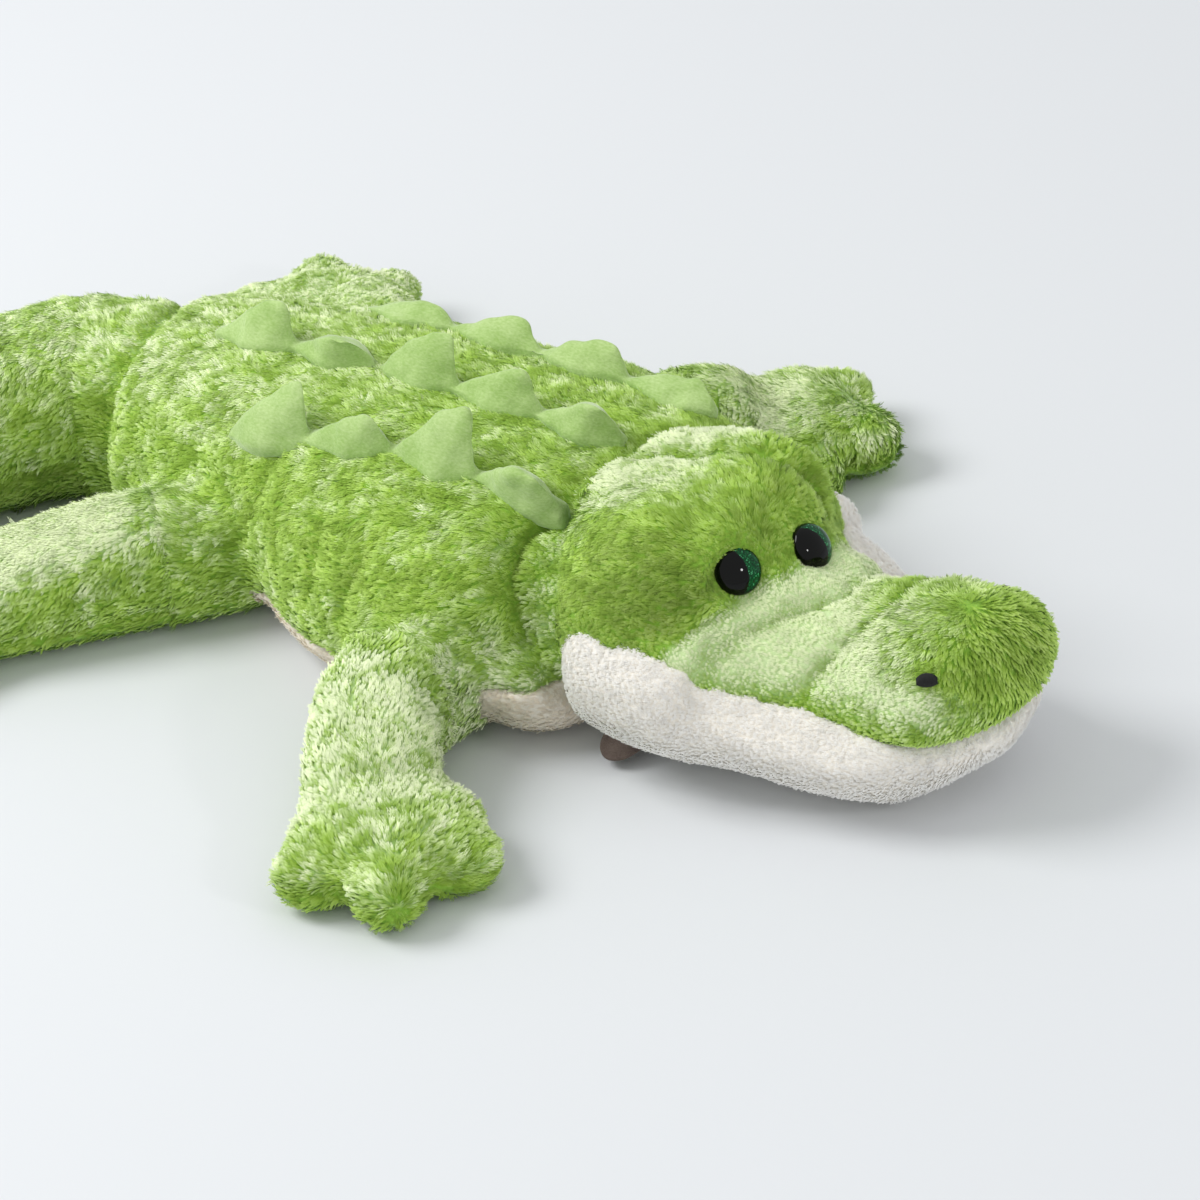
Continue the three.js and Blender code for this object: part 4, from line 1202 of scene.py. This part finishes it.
# %% [markdown]
# ## Fur
# A real pile has thousands of fibres on each square centimetre, far too many to model one by one. What
# the eye sees is locks: a few dozen fibres that lean together, with a dark gap beside the next lock. So one
# lock of a few blades is made, and Geometry Nodes plant it all over a skin. Each lock leans along
# the comb direction, is drawn towards the middle of its neighbourhood by a Voronoi pattern, and is stirred
# by noise. Particle hair would be easier to comb, but it would not survive the export, and this does.

# %% One lock of pile
def lock_of(blades, seed, name):
    """Slim blades from a patch of roots, widest near their tips: x and y in blade widths, z in lengths."""
    rng = np.random.default_rng(seed)
    points, faces, share = [], [], []
    for i in range(blades):
        turn = rng.uniform(0, 2 * math.pi)
        out = math.sqrt(rng.uniform(0, 1)) * 2.6
        root = np.array([math.cos(turn) * out, math.sin(turn) * out, 0])
        tip_x = root[0] * 0.5 + rng.uniform(-1, 1)
        tip_y = root[1] * 0.5 + rng.uniform(-1, 1)
        tip = np.array([tip_x, tip_y, rng.uniform(0.6, 1.0)])
        roll = math.radians(rng.uniform(-35, 35))
        side = np.array([math.sin(roll), math.cos(roll), 0]) * 0.5
        points += [root, tip - side, tip + side * [1, 1, 0] - [0, 0, 0.14]]
        faces.append((3 * i, 3 * i + 1, 3 * i + 2))
        share += [0.0, 1.0, 0.85]
    mesh = bpy.data.meshes.new(name)
    mesh.from_pydata(points, [], faces)
    mesh.attributes.new("along", "FLOAT", "POINT").data.foreach_set("value", share)
    made = bpy.data.objects.new(name, mesh)
    bpy.context.scene.collection.objects.link(made)
    return made


lock = lock_of(blades=8, seed=7, name="lock_of_pile")
print(lock.name, len(lock.data.polygons), "blades")

# %% The planting tree
planting, given, planting_out = new_group(
    "planted_pile",
    [
        ("Geometry", GEOMETRY),
        ("Lock", OBJECT),
        ("Pile", MATERIAL),
        ("Locks per Area", NUMBER),
        ("Length", NUMBER),
        ("Blade Width", NUMBER),
        ("Lift", NUMBER),
        ("Gathering Size", NUMBER),
        ("Gathering", NUMBER),
        ("Swirl Size", NUMBER),
        ("Swirl", NUMBER),
        ("Frizz", NUMBER),
        ("Seed", WHOLE),
    ],
    [("Geometry", GEOMETRY)],
    "GeometryNodeTree",
)


def vector_node(operation, a, b=None, scale=None):
    made = add(planting, "ShaderNodeVectorMath", {0: a}, operation=operation)
    if b is not None:
        planting.links.new(b, made.inputs[1])
    if scale is not None:
        if isinstance(scale, bpy.types.NodeSocket):
            planting.links.new(scale, made.inputs["Scale"])
        else:
            made.inputs["Scale"].default_value = scale
    return made.outputs["Value" if operation == "DOT_PRODUCT" else "Vector"]


def named(name, kind="FLOAT"):
    return add(planting, "GeometryNodeInputNamedAttribute", {"Name": name}, data_type=kind).outputs[0]


def scattered(low, high):
    """A number between two others, its own for each lock."""
    limits = {2: low, 3: high, "Seed": given["Seed"]}
    return add(planting, "FunctionNodeRandomValue", limits, data_type="FLOAT").outputs[1]


thickness = math_node(planting, "MAXIMUM", named("thick"), 0.0)
dense = math_node(planting, "MULTIPLY", given["Locks per Area"], thickness)
spots = add(
    planting,
    "GeometryNodeDistributePointsOnFaces",
    {"Mesh": given["Geometry"], "Density": dense, "Seed": given["Seed"]},
    distribute_method="RANDOM",
)
upright = spots.outputs["Normal"]
spot = add(planting, "GeometryNodeInputPosition").outputs[0]


def along_cloth(vector):
    """A vector without the part of it that stands square to the cloth."""
    square = vector_node("SCALE", upright, scale=vector_node("DOT_PRODUCT", vector, upright))
    return vector_node("SUBTRACT", vector, square)


per_size = math_node(planting, "DIVIDE", 1.0, given["Gathering Size"])
cell = add(planting, "ShaderNodeTexVoronoi", {"Vector": spot, "Scale": per_size}).outputs["Position"]
pull = along_cloth(vector_node("SCALE", vector_node("SUBTRACT", cell, spot), scale=per_size))
swirl_scale = math_node(planting, "DIVIDE", 1.0, given["Swirl Size"])
stirred = noise_at(planting, spot, swirl_scale, 2.0)["Color"]
half = add(planting, "ShaderNodeCombineXYZ", {0: 0.5, 1: 0.5, 2: 0.5}).outputs[0]
stirred = along_cloth(vector_node("SCALE", vector_node("SUBTRACT", stirred, half), scale=2.0))
loose = add(
    planting,
    "FunctionNodeRandomValue",
    {"Min": (-1, -1, -1), "Max": (1, 1, 1), "Seed": given["Seed"]},
    data_type="FLOAT_VECTOR",
).outputs[0]
lean = vector_node("ADD", named("comb", "FLOAT_VECTOR"), vector_node("SCALE", upright, scale=given["Lift"]))
lean = vector_node("ADD", lean, vector_node("SCALE", pull, scale=given["Gathering"]))
lean = vector_node("ADD", lean, vector_node("SCALE", stirred, scale=given["Swirl"]))
lean = vector_node("NORMALIZE", vector_node("ADD", lean, vector_node("SCALE", loose, scale=given["Frizz"])))
rise = math_node(planting, "MAXIMUM", vector_node("DOT_PRODUCT", lean, upright), 0.12)
lean = vector_node("ADD", along_cloth(lean), vector_node("SCALE", upright, scale=rise))
turn = add(planting, "FunctionNodeAlignRotationToVector", {"Vector": lean}, axis="Z").outputs[0]
turn = add(
    planting,
    "FunctionNodeAlignRotationToVector",
    {"Rotation": turn, "Vector": vector_node("SCALE", upright, scale=-1.0)},
    axis="X",
    pivot_axis="Z",
).outputs[0]
uneven = scattered(0.75, 1.15)
long = math_node(planting, "MULTIPLY", math_node(planting, "MULTIPLY", given["Length"], uneven), named("fur"))
blade_width = given["Blade Width"]
size = add(planting, "ShaderNodeCombineXYZ", {0: blade_width, 1: blade_width, 2: long}).outputs[0]
patches = math_node(planting, "MULTIPLY", noise_at(planting, spot, 85.0, 3.0)["Fac"], 0.5)
flecks = math_node(planting, "MULTIPLY", noise_at(planting, spot, 270.0, 1.0)["Fac"], 0.5)
patchy = math_node(planting, "ADD", patches, flecks)
toned = add(
    planting,
    "GeometryNodeStoreNamedAttribute",
    {
        "Geometry": spots.outputs["Points"],
        "Name": "tone",
        "Value": math_node(planting, "ADD", spread(planting, patchy, 0.36, 0.62), scattered(-0.12, 0.12)),
    },
    data_type="FLOAT",
    domain="POINT",
)
facing = add(
    planting,
    "GeometryNodeStoreNamedAttribute",
    {"Geometry": toned.outputs["Geometry"], "Name": "cloth_normal", "Value": upright},
    data_type="FLOAT_VECTOR",
    domain="POINT",
)
planted = add(
    planting,
    "GeometryNodeInstanceOnPoints",
    {
        "Points": facing.outputs["Geometry"],
        "Instance": add(planting, "GeometryNodeObjectInfo", {"Object": given["Lock"]}).outputs["Geometry"],
        "Rotation": turn,
        "Scale": size,
    },
)
realised = add(planting, "GeometryNodeRealizeInstances", {"Geometry": planted.outputs["Instances"]})
dyed_pile = {"Geometry": realised.outputs[0], "Material": given["Pile"]}
finished = add(planting, "GeometryNodeSetMaterial", dyed_pile)
planting.links.new(finished.outputs[0], planting_out["Geometry"])


def shaped_by(made, tree, inputs):
    """The object as a node tree makes it, in plain mesh. Inputs are set by their sockets' identifiers."""
    sockets = [item for item in tree.interface.items_tree if item.item_type == "SOCKET"]
    socket_of = {item.name: item.identifier for item in sockets if item.in_out == "INPUT"}
    modifier = made.modifiers.new(tree.name, "NODES")
    modifier.node_group = tree
    for label, value in inputs.items():
        modifier[socket_of[label]] = value
    return applied(made)


print(len(planting.nodes), "nodes plant the pile")

# %% Plant a skin, and share its blades out over pieces
LONG_PILE = {
    "Locks per Area": 500000.0,
    "Length": 0.0057,
    "Blade Width": 0.00037,
    "Lift": 0.16,
    "Gathering Size": 0.0065,
    "Gathering": 0.45,
    "Swirl Size": 0.022,
    "Swirl": 1.1,
    "Frizz": 0.3,
}
SHORT_NAP = {
    **LONG_PILE,
    "Length": 0.0028,
    "Lift": 0.17,
    "Gathering Size": 0.012,
    "Gathering": 0.35,
    "Swirl": 0.7,
}
MOST_FACES = 190000
BLADE_SHARE = 0.12
OVER_FLOOR = 0.0004


def planted_on(skin, pile, sizes, seed):
    """Plants pile on a copy of a skin, and gives it as pieces that stay small enough for the export."""
    host = bpy.data.objects.new("planting_host", skin.data.copy())
    bpy.context.scene.collection.objects.link(host)
    host.data.materials.clear()
    fibres = shaped_by(host, planting, {**sizes, "Lock": lock, "Pile": pile, "Seed": seed}).data
    blades = len(fibres.vertices) // 3
    places = read_rows(fibres.vertices, "co", 3, np.float32).reshape(blades, 3, 3)
    upwards = read_rows(fibres.attributes["cloth_normal"].data, "vector", 3, np.float32).reshape(blades, 3, 3)
    own = np.cross(places[:, 1] - places[:, 0], places[:, 2] - places[:, 0])
    own /= np.maximum(np.linalg.norm(own, axis=1, keepdims=True), 1e-12)
    soft = upwards * (1 - BLADE_SHARE) + own[:, None, :] * BLADE_SHARE
    soft /= np.linalg.norm(soft, axis=2, keepdims=True)
    places[:, :, 2] = np.maximum(places[:, :, 2], OVER_FLOOR)
    values = {}
    for name in ("along", "tone", "pale"):
        values[name] = read_rows(fibres.attributes[name].data, "value", 1, np.float32).reshape(blades, 3)
    bpy.data.objects.remove(host)
    bpy.data.meshes.remove(fibres)
    order = np.argsort(places[:, 0, 0], kind="stable")
    pieces = []
    for number, chosen in enumerate(np.array_split(order, math.ceil(blades / MOST_FACES))):
        mesh = bpy.data.meshes.new(f"{skin.name.replace('_cloth', '')}_pile_{number + 1}")
        corners = np.arange(len(chosen) * 3, dtype=np.int32)
        mesh.vertices.add(len(corners))
        mesh.loops.add(len(corners))
        mesh.polygons.add(len(chosen))
        mesh.vertices.foreach_set("co", places[chosen].ravel())
        mesh.loops.foreach_set("vertex_index", corners)
        mesh.polygons.foreach_set("loop_start", corners[::3].copy())
        mesh.update(calc_edges=True)
        for name, value in values.items():
            mesh.attributes.new(name, "FLOAT", "POINT").data.foreach_set("value", value[chosen].ravel())
        mesh.materials.append(pile)
        mesh.normals_split_custom_set_from_vertices(soft[chosen].reshape(-1, 3))
        piece = bpy.data.objects.new(mesh.name, mesh)
        bpy.context.scene.collection.objects.link(piece)
        pieces.append(piece)
    print(skin.name, blades, "triangles of pile in", len(pieces), "pieces")
    return pieces


piles = {}
for seed, (name, skin) in enumerate(skins.items()):
    cream = name in ("belly", "jaw")
    backing = {"belly": belly_backing, "jaw": cream_backing}.get(name, green_backing)
    pile = {"belly": belly_pile, "jaw": cream_pile}.get(name, green_pile)
    skin.data.materials.append(backing)
    piles[name] = planted_on(skin, pile, SHORT_NAP if cream else LONG_PILE, seed)
bpy.data.objects.remove(lock)
print(sum(len(p.data.polygons) for pieces in piles.values() for p in pieces), "triangles of pile in all")

# %% [markdown]
# ## Fins along the back
# The fins are folded velour, sewn on in three strips with a narrow link between one fin and the next. Each
# rises slowly from the tail side to a peak, and falls steeply towards the head. Such a strip follows a
# rule, so it is a grid of points over the back: a slope along it, a tent across it. Each fin has its own
# flop, as soft cloth never stands quite straight.

# %% Strips of fins
fin_width, fin_height, fin_peak = 20, 22, 0.68
strip_width, strip_thickness, strip_sink = 7, 2.0, 5
fin_flop, fin_nod, cloth_below = 13, 8, 2.2
strips = {
    "centre": (-102, -9, 46.5, [(0.3, 0.9), (-1.2, 0.75), (0.5, 1.05), (0.2, 0.8), (-0.5, 0.8)]),
    "right": (-60, -60, 47.5, [(0.9, 1.05), (0.3, 0.75), (1.0, 1.05), (-0.4, 0.95)]),
    "left": (-50, 42, 49, [(0.9, 0.35), (0.8, 0.5), (0.4, 0.6), (0.7, 0.55)]),
}


def back_height(x, y):
    t = min(max((x - rump_x) / torso_length, 0), 1)
    half_width = share_at(torso_table, t, 1) * torso_width / 2
    aside = min(abs(y - torso_line.point(t)[1]) / half_width, 1)
    fall = (1 - aside**BODY_POWER) ** (1 / BODY_POWER)
    top = share_at(torso_table, t, 2)
    return torso_height * (TORSO_MIDDLE_SHARE + (top - TORSO_MIDDLE_SHARE) * fall)


def faces_outwards(made):
    work = bmesh.new()
    work.from_mesh(made.data)
    bmesh.ops.recalc_face_normals(work, faces=work.faces)
    work.to_mesh(made.data)
    work.free()


def strip_of_fins(name, start_x, y, fin_pitch, fins):
    rings, columns = 30, 17
    lean = math.copysign(min(abs(y) / (torso_width / 2), 1), y)
    points, faces = [], []
    total = rings * len(fins)
    across = np.linspace(-1, 1, columns)
    for i in range(total + 1):
        fin = min(i // rings, len(fins) - 1)
        flop, grown = fins[fin]
        phase = (i - fin * rings) / rings
        x = start_x + fin_pitch * i / rings
        rising = phase < fin_peak
        slope = math.sin(math.pi / 2 * (phase / fin_peak if rising else (1 - phase) / (1 - fin_peak)))
        power = 1.35 if rising else 0.8
        wide = math.sin(math.pi * min(max(phase, 0), 1) ** 1.15) ** 1.3
        half = strip_width / 2 + wide * (fin_width * 1.06 - strip_width) / 2
        high = fin_height * grown * max(slope, 0) ** power
        z = back_height(x, y) - cloth_below
        for side in (1, -1):
            for k in across if side > 0 else across[1:-1][::-1]:
                tent = (1 - abs(k) ** 1.7) ** 1.3
                rise = strip_thickness + high * tent if side > 0 else -strip_sink
                share = high * tent / (fin_height + 1e-6) if side > 0 else 0
                sideways = k * half * (1 - 0.2 * share) + flop * fin_flop * share**1.6
                forward = fin_nod * share**1.8
                aside = sideways * math.sqrt(1 - lean * lean * 0.5) + rise * lean * 0.5
                points.append((x + forward, y + aside, z - sideways * lean * 0.7 + rise))
    around = 2 * columns - 2
    for i in range(total):
        for k in range(around):
            a, b = i * around + k, i * around + (k + 1) % around
            faces.append((a, b, b + around, a + around))
    faces.append(tuple(range(around))[::-1])
    faces.append(tuple(total * around + k for k in range(around)))
    made = mesh_object(f"fins_{name}", points, faces)
    faces_outwards(made)
    finer = made.modifiers.new("finer", "SUBSURF")
    finer.levels = finer.render_levels = 1
    applied(made)
    made.data.shade_smooth()
    normals = normals_of(made)
    places = points_of(made)
    dents = wrinkles(places, 9, 1) * 1.3 + wrinkles(places, 20, 6) * 1.8
    set_points(made, places + normals * (dents * (places[:, 2] > 0))[:, None])
    made.data.materials.append(velour)
    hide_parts(f"scute_strip_{name}")
    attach(made, "torso")
    return made


fins = [strip_of_fins(name, *values) for name, values in strips.items()]
print("fins:", [len(f.data.polygons) for f in fins], "faces")

# %% [markdown]
# ## Eyes, nostrils and tag
# Safety eyes are one clear plastic dome over a printed disc. Real glass would need a hollow and a separate
# disc, and refraction costs time. From outside the two look the same as a painted dome under a clear coat,
# so the print is painted on the dome, in the dome's own UV map: a tall black pupil, and an emerald iris
# full of glitter. The glitter's glints are painted in as well: its brightest flakes are painted sparkle.

# %% Eyes
eye_paint = plain_material("eye_paint", (0, 0, 0), 0.25)
eye_tree = eye_paint.node_tree
eye_shader = eye_tree.nodes["Principled BSDF"]
eye_shader.inputs["Specular IOR Level"].default_value = 0.0
eye_shader.inputs["Coat Weight"].default_value = 1.0
eye_shader.inputs["Coat Roughness"].default_value = 0.02
eye_shader.inputs["Coat IOR"].default_value = 1.3
disc = add(eye_tree, "ShaderNodeUVMap", uv_map="Disc").outputs[0]
pupil = {"Vector": disc, "Location": (0.62, 0.02, 0), "Scale": (1.55, 0.95, 1)}
centred = add(eye_tree, "ShaderNodeMapping", pupil).outputs[0]
from_pupil = add(eye_tree, "ShaderNodeVectorMath", {0: centred}, operation="LENGTH").outputs["Value"]
from_middle = add(eye_tree, "ShaderNodeVectorMath", {0: disc}, operation="LENGTH").outputs["Value"]
flakes = add(eye_tree, "ShaderNodeTexVoronoi", {"Vector": disc, "Scale": 26.0})
flake_light = add(eye_tree, "ShaderNodeSeparateColor", {0: flakes.outputs["Color"]}).outputs[0]
iris = mixed(eye_tree, spread(eye_tree, flake_light, 0.3, 1.0), linear(4, 52, 27), linear(17, 108, 56))
# The brightest flakes are painted sparkle: glints of the glitter painted into its colour.
iris = mixed(eye_tree, spread(eye_tree, flake_light, 0.93, 0.97), iris, linear(90, 190, 130))
iris = mixed(eye_tree, spread(eye_tree, from_middle, 0.82, 0.97), iris, linear(6, 26, 16))
black = linear(5, 6, 5)
seen = mixed(eye_tree, spread(eye_tree, from_pupil, 0.97, 1.03), black, iris)
left_edge = add(eye_tree, "ShaderNodeSeparateXYZ", {0: disc}).outputs[0]
seen = mixed(eye_tree, spread(eye_tree, left_edge, -0.46, -0.4), black, seen)
eye_tree.links.new(seen, eye_shader.inputs["Base Color"])
eye_radius, eye_dome, eye_edge = 11, 7, 1.2
eye_back, eye_bevel = -2.6, 0.8


def eye_of(name, side, at):
    points, uvs, faces = [], [], []
    turns, rows = 56, 14
    profile = [
        (0, eye_back),
        (eye_radius - eye_bevel, eye_back),
        (eye_radius, eye_back + eye_bevel),
        (eye_radius, eye_edge * 0.6),
    ]
    for i in range(rows + 1):
        angle = math.pi / 2 * i / rows
        profile.append((eye_radius * math.cos(angle), eye_edge + (eye_dome - eye_edge) * math.sin(angle)))
    turn = about("Z", HEAD_TURN) @ Matrix.Translation(at) @ eye_turn(side)
    for radius, height in profile:
        spots = 1 if radius < 1e-6 else turns
        for k in range(spots):
            angle = 2 * math.pi * k / turns
            x, y = radius * math.cos(angle), radius * math.sin(angle)
            points.append(turn @ Vector((x, y, height)) + Vector(neck_at))
            uvs.append((y / eye_radius, -x / eye_radius))
    starts = [0]
    for radius, _ in profile[:-1]:
        starts.append(starts[-1] + (1 if radius < 1e-6 else turns))
    for row in range(len(profile) - 1):
        a, b = starts[row], starts[row + 1]
        for k in range(turns):
            j = (k + 1) % turns
            if profile[row][0] < 1e-6:
                faces.append((a, b + j, b + k))
            elif profile[row + 1][0] < 1e-6:
                faces.append((a + k, a + j, b))
            else:
                faces.append((a + k, a + j, b + j, b + k))
    made = mesh_object(f"eye_{name}", points, faces)
    layer = made.data.uv_layers.new(name="Disc")
    for loop in made.data.loops:
        layer.data[loop.index].uv = uvs[loop.vertex_index]
    made.data.shade_smooth()
    made.data.materials.append(eye_paint)
    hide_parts(f"eye_lens_{name}", f"eye_backing_{name}")
    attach(made, "head")
    return made


for name, (side, at) in eye_places.items():
    eye = eye_of(name, side, at)
    print(eye.name, len(eye.data.polygons), "faces")
    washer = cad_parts[f"eye_washer_{name}"]
    washer.data.materials.clear()
    washer.data.materials.append(washer_plastic)

# %% Nostrils of satin stitch
thread = plain_material("black_thread", linear(18, 18, 18)[:3], 0.75)
thread_tree = thread.node_tree
thread_shader = thread_tree.nodes["Principled BSDF"]
thread_shader.inputs["Sheen Weight"].default_value = 0.05
thread_place = add(thread_tree, "ShaderNodeTexCoord").outputs["Object"]
twist = {"Vector": thread_place, "Scale": 1500.0}
thread_noise = add(thread_tree, "ShaderNodeTexNoise", twist).outputs["Fac"]
thread_dye = mixed(thread_tree, thread_noise, linear(4, 5, 4), linear(22, 24, 22))
thread_tree.links.new(thread_dye, thread_shader.inputs["Base Color"])

stitching, sewn, stitching_out = new_group(
    "satin_stitch",
    [
        ("Geometry", GEOMETRY),
        ("Stitches", WHOLE),
        ("Length", NUMBER),
        ("Thread", NUMBER),
        ("Bulge", NUMBER),
        ("Material", MATERIAL),
    ],
    [("Geometry", GEOMETRY)],
    "GeometryNodeTree",
)
half_row = math_node(stitching, "MULTIPLY", sewn["Length"], 0.46)
row_start = add(stitching, "ShaderNodeCombineXYZ", {0: math_node(stitching, "MULTIPLY", half_row, -1.0)})
row_end = add(stitching, "ShaderNodeCombineXYZ", {0: half_row})
row_inputs = {"Count": sewn["Stitches"], "Start Location": row_start.outputs[0], "Offset": row_end.outputs[0]}
row = add(stitching, "GeometryNodeMeshLine", row_inputs, mode="END_POINTS", count_mode="TOTAL")
stitch_at = add(stitching, "GeometryNodeInputPosition").outputs[0]
where = add(stitching, "ShaderNodeSeparateXYZ", {0: stitch_at}).outputs[0]
share = math_node(stitching, "DIVIDE", where, math_node(stitching, "MULTIPLY", sewn["Length"], 0.5))
share_squared = math_node(stitching, "MULTIPLY", share, share)
round_end = math_node(stitching, "SQRT", math_node(stitching, "SUBTRACT", 1.0, share_squared, clamp=True))
arch = add(
    stitching,
    "GeometryNodeCurvePrimitiveBezierSegment",
    {
        "Resolution": 8,
        "Start": (0, -0.5, 0),
        "Start Handle": (0, -0.45, 0.5),
        "End Handle": (0, 0.45, 0.5),
        "End": (0, 0.5, 0),
    },
)
thread_round = add(stitching, "GeometryNodeCurvePrimitiveCircle", {"Resolution": 6, "Radius": 0.055})
wire = add(
    stitching,
    "GeometryNodeCurveToMesh",
    {"Curve": arch.outputs[0], "Profile Curve": thread_round.outputs[0], "Fill Caps": True},
)
across = math_node(stitching, "MULTIPLY", round_end, sewn["Thread"])
stitch_size = add(stitching, "ShaderNodeCombineXYZ", {0: sewn["Thread"], 1: across, 2: sewn["Bulge"]})
laid = add(
    stitching,
    "GeometryNodeInstanceOnPoints",
    {"Points": row.outputs[0], "Instance": wire.outputs[0], "Scale": stitch_size.outputs[0]},
)
made_real = add(stitching, "GeometryNodeRealizeInstances", {"Geometry": laid.outputs[0]})
dyed_thread = {"Geometry": made_real.outputs[0], "Material": sewn["Material"]}
coloured = add(stitching, "GeometryNodeSetMaterial", dyed_thread)
stitching.links.new(coloured.outputs[0], stitching_out["Geometry"])


def shifted(x, y, z):
    return Matrix.Translation(Vector((x, y, z)) * MM)


head_place = shifted(*neck_at) @ about("Z", HEAD_TURN)
NOSTRIL = {"Stitches": 17, "Length": 0.0095, "Thread": 0.0062, "Bulge": 0.0078, "Material": thread}
nose_at, nose_turn = (190, 18, 0), 17
for name, side in (("right", -1), ("left", 1)):
    pad = mesh_object(f"stitched_nostril_{name}", *ellipsoid(9.5, 6, 6, 24, 12))
    pad.data.materials.append(thread)
    rows = shaped_by(mesh_object("stitch_rows", [(0, 0, 0)], []), stitching, NOSTRIL)
    rows.data.transform(about("X", -side * 90))
    work = bmesh.new()
    work.from_mesh(pad.data)
    work.from_mesh(rows.data)
    on_nose = shifted(17.5, side * (36.3 - 2.2 * side), 81) @ about("Z", -side * 30)
    placing = head_place @ shifted(*nose_at) @ about("Z", nose_turn) @ on_nose
    bmesh.ops.transform(work, matrix=placing, verts=work.verts)
    work.to_mesh(pad.data)
    work.free()
    bpy.data.objects.remove(rows)
    pad.data.shade_smooth()
    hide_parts(f"nostril_{name}")
    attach(pad, "head")
    print(pad.name, len(pad.data.polygons), "faces")

# %% Bare felt tag
tag_length, tag_width, tag_thickness = 32, 22, 1.6
tag_turns, tag_rings = 48, (0.45, 0.8, 0.95, 1.0)
tag_side = tag_turns * len(tag_rings)
tag_rim = tag_side - tag_turns
tag_points, tag_faces = [], []
for level in (-1, 1):
    for radius in tag_rings:
        inset = tag_thickness / 2 * math.sqrt(1 - min(max((radius - 0.9) / 0.1, 0), 1) ** 2 * 0.75)
        for k in range(tag_turns):
            a = 2 * math.pi * k / tag_turns
            x, y = tag_length / 2 * radius * math.cos(a), tag_width / 2 * radius * math.sin(a)
            tag_points.append((x, y, level * inset))
for base in (0, tag_side):
    for start in range(base, base + tag_rim, tag_turns):
        for k in range(tag_turns):
            a, b = start + k, start + (k + 1) % tag_turns
            tag_faces.append((a, b, b + tag_turns, a + tag_turns))
    tag_faces.append(tuple(base + k for k in range(tag_turns)))
for k in range(tag_turns):
    a, b = tag_rim + k, tag_rim + (k + 1) % tag_turns
    tag_faces.append((a, b, b + tag_side, a + tag_side))
tag = mesh_object("felt_tag", tag_points, tag_faces)
faces_outwards(tag)
tag.data.transform(head_place @ shifted(68, -65, 9) @ about("Z", -75) @ about("Y", 12))
tag.data.shade_smooth()
tag.data.materials.append(brown_felt)
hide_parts("tag")
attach(tag, "head")
print(tag.name, len(tag.data.polygons), "faces")

# %% [markdown]
# ## What moves with what
# The head, the jaw and their trimmings turn as one. The torso and the belly stay. Each limb's cloth and
# pile keep their places baked into their meshes and are attached to no other piece.


def follow(piece, name):
    if name in ("torso", "belly"):
        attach(piece, "torso")
    elif name in ("head", "jaw"):
        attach(piece, "head")
    else:
        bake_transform(piece)


stands_for = {
    "torso": ["torso_skin", "torso_filling"],
    "belly": ["belly_panel"],
    "head": ["head_crown", "snout", "head_filling"],
    "jaw": ["lower_jaw", "jaw_filling"],
    "tail": ["tail_top", "tail_underside", "tail_filling"],
}
for name in leg_names:
    stands_for[name] = [f"leg_top_{name}", f"leg_sole_{name}", f"leg_filling_{name}"]
for name, skin in skins.items():
    for attribute in ("fur", "thick", "comb", "owner"):
        if attribute in skin.data.attributes:
            skin.data.attributes.remove(skin.data.attributes[attribute])
    follow(skin, name)
    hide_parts(*stands_for[name])
    for piece in piles[name]:
        follow(piece, name)
    print(skin.name, "stands for", ", ".join(stands_for[name]))
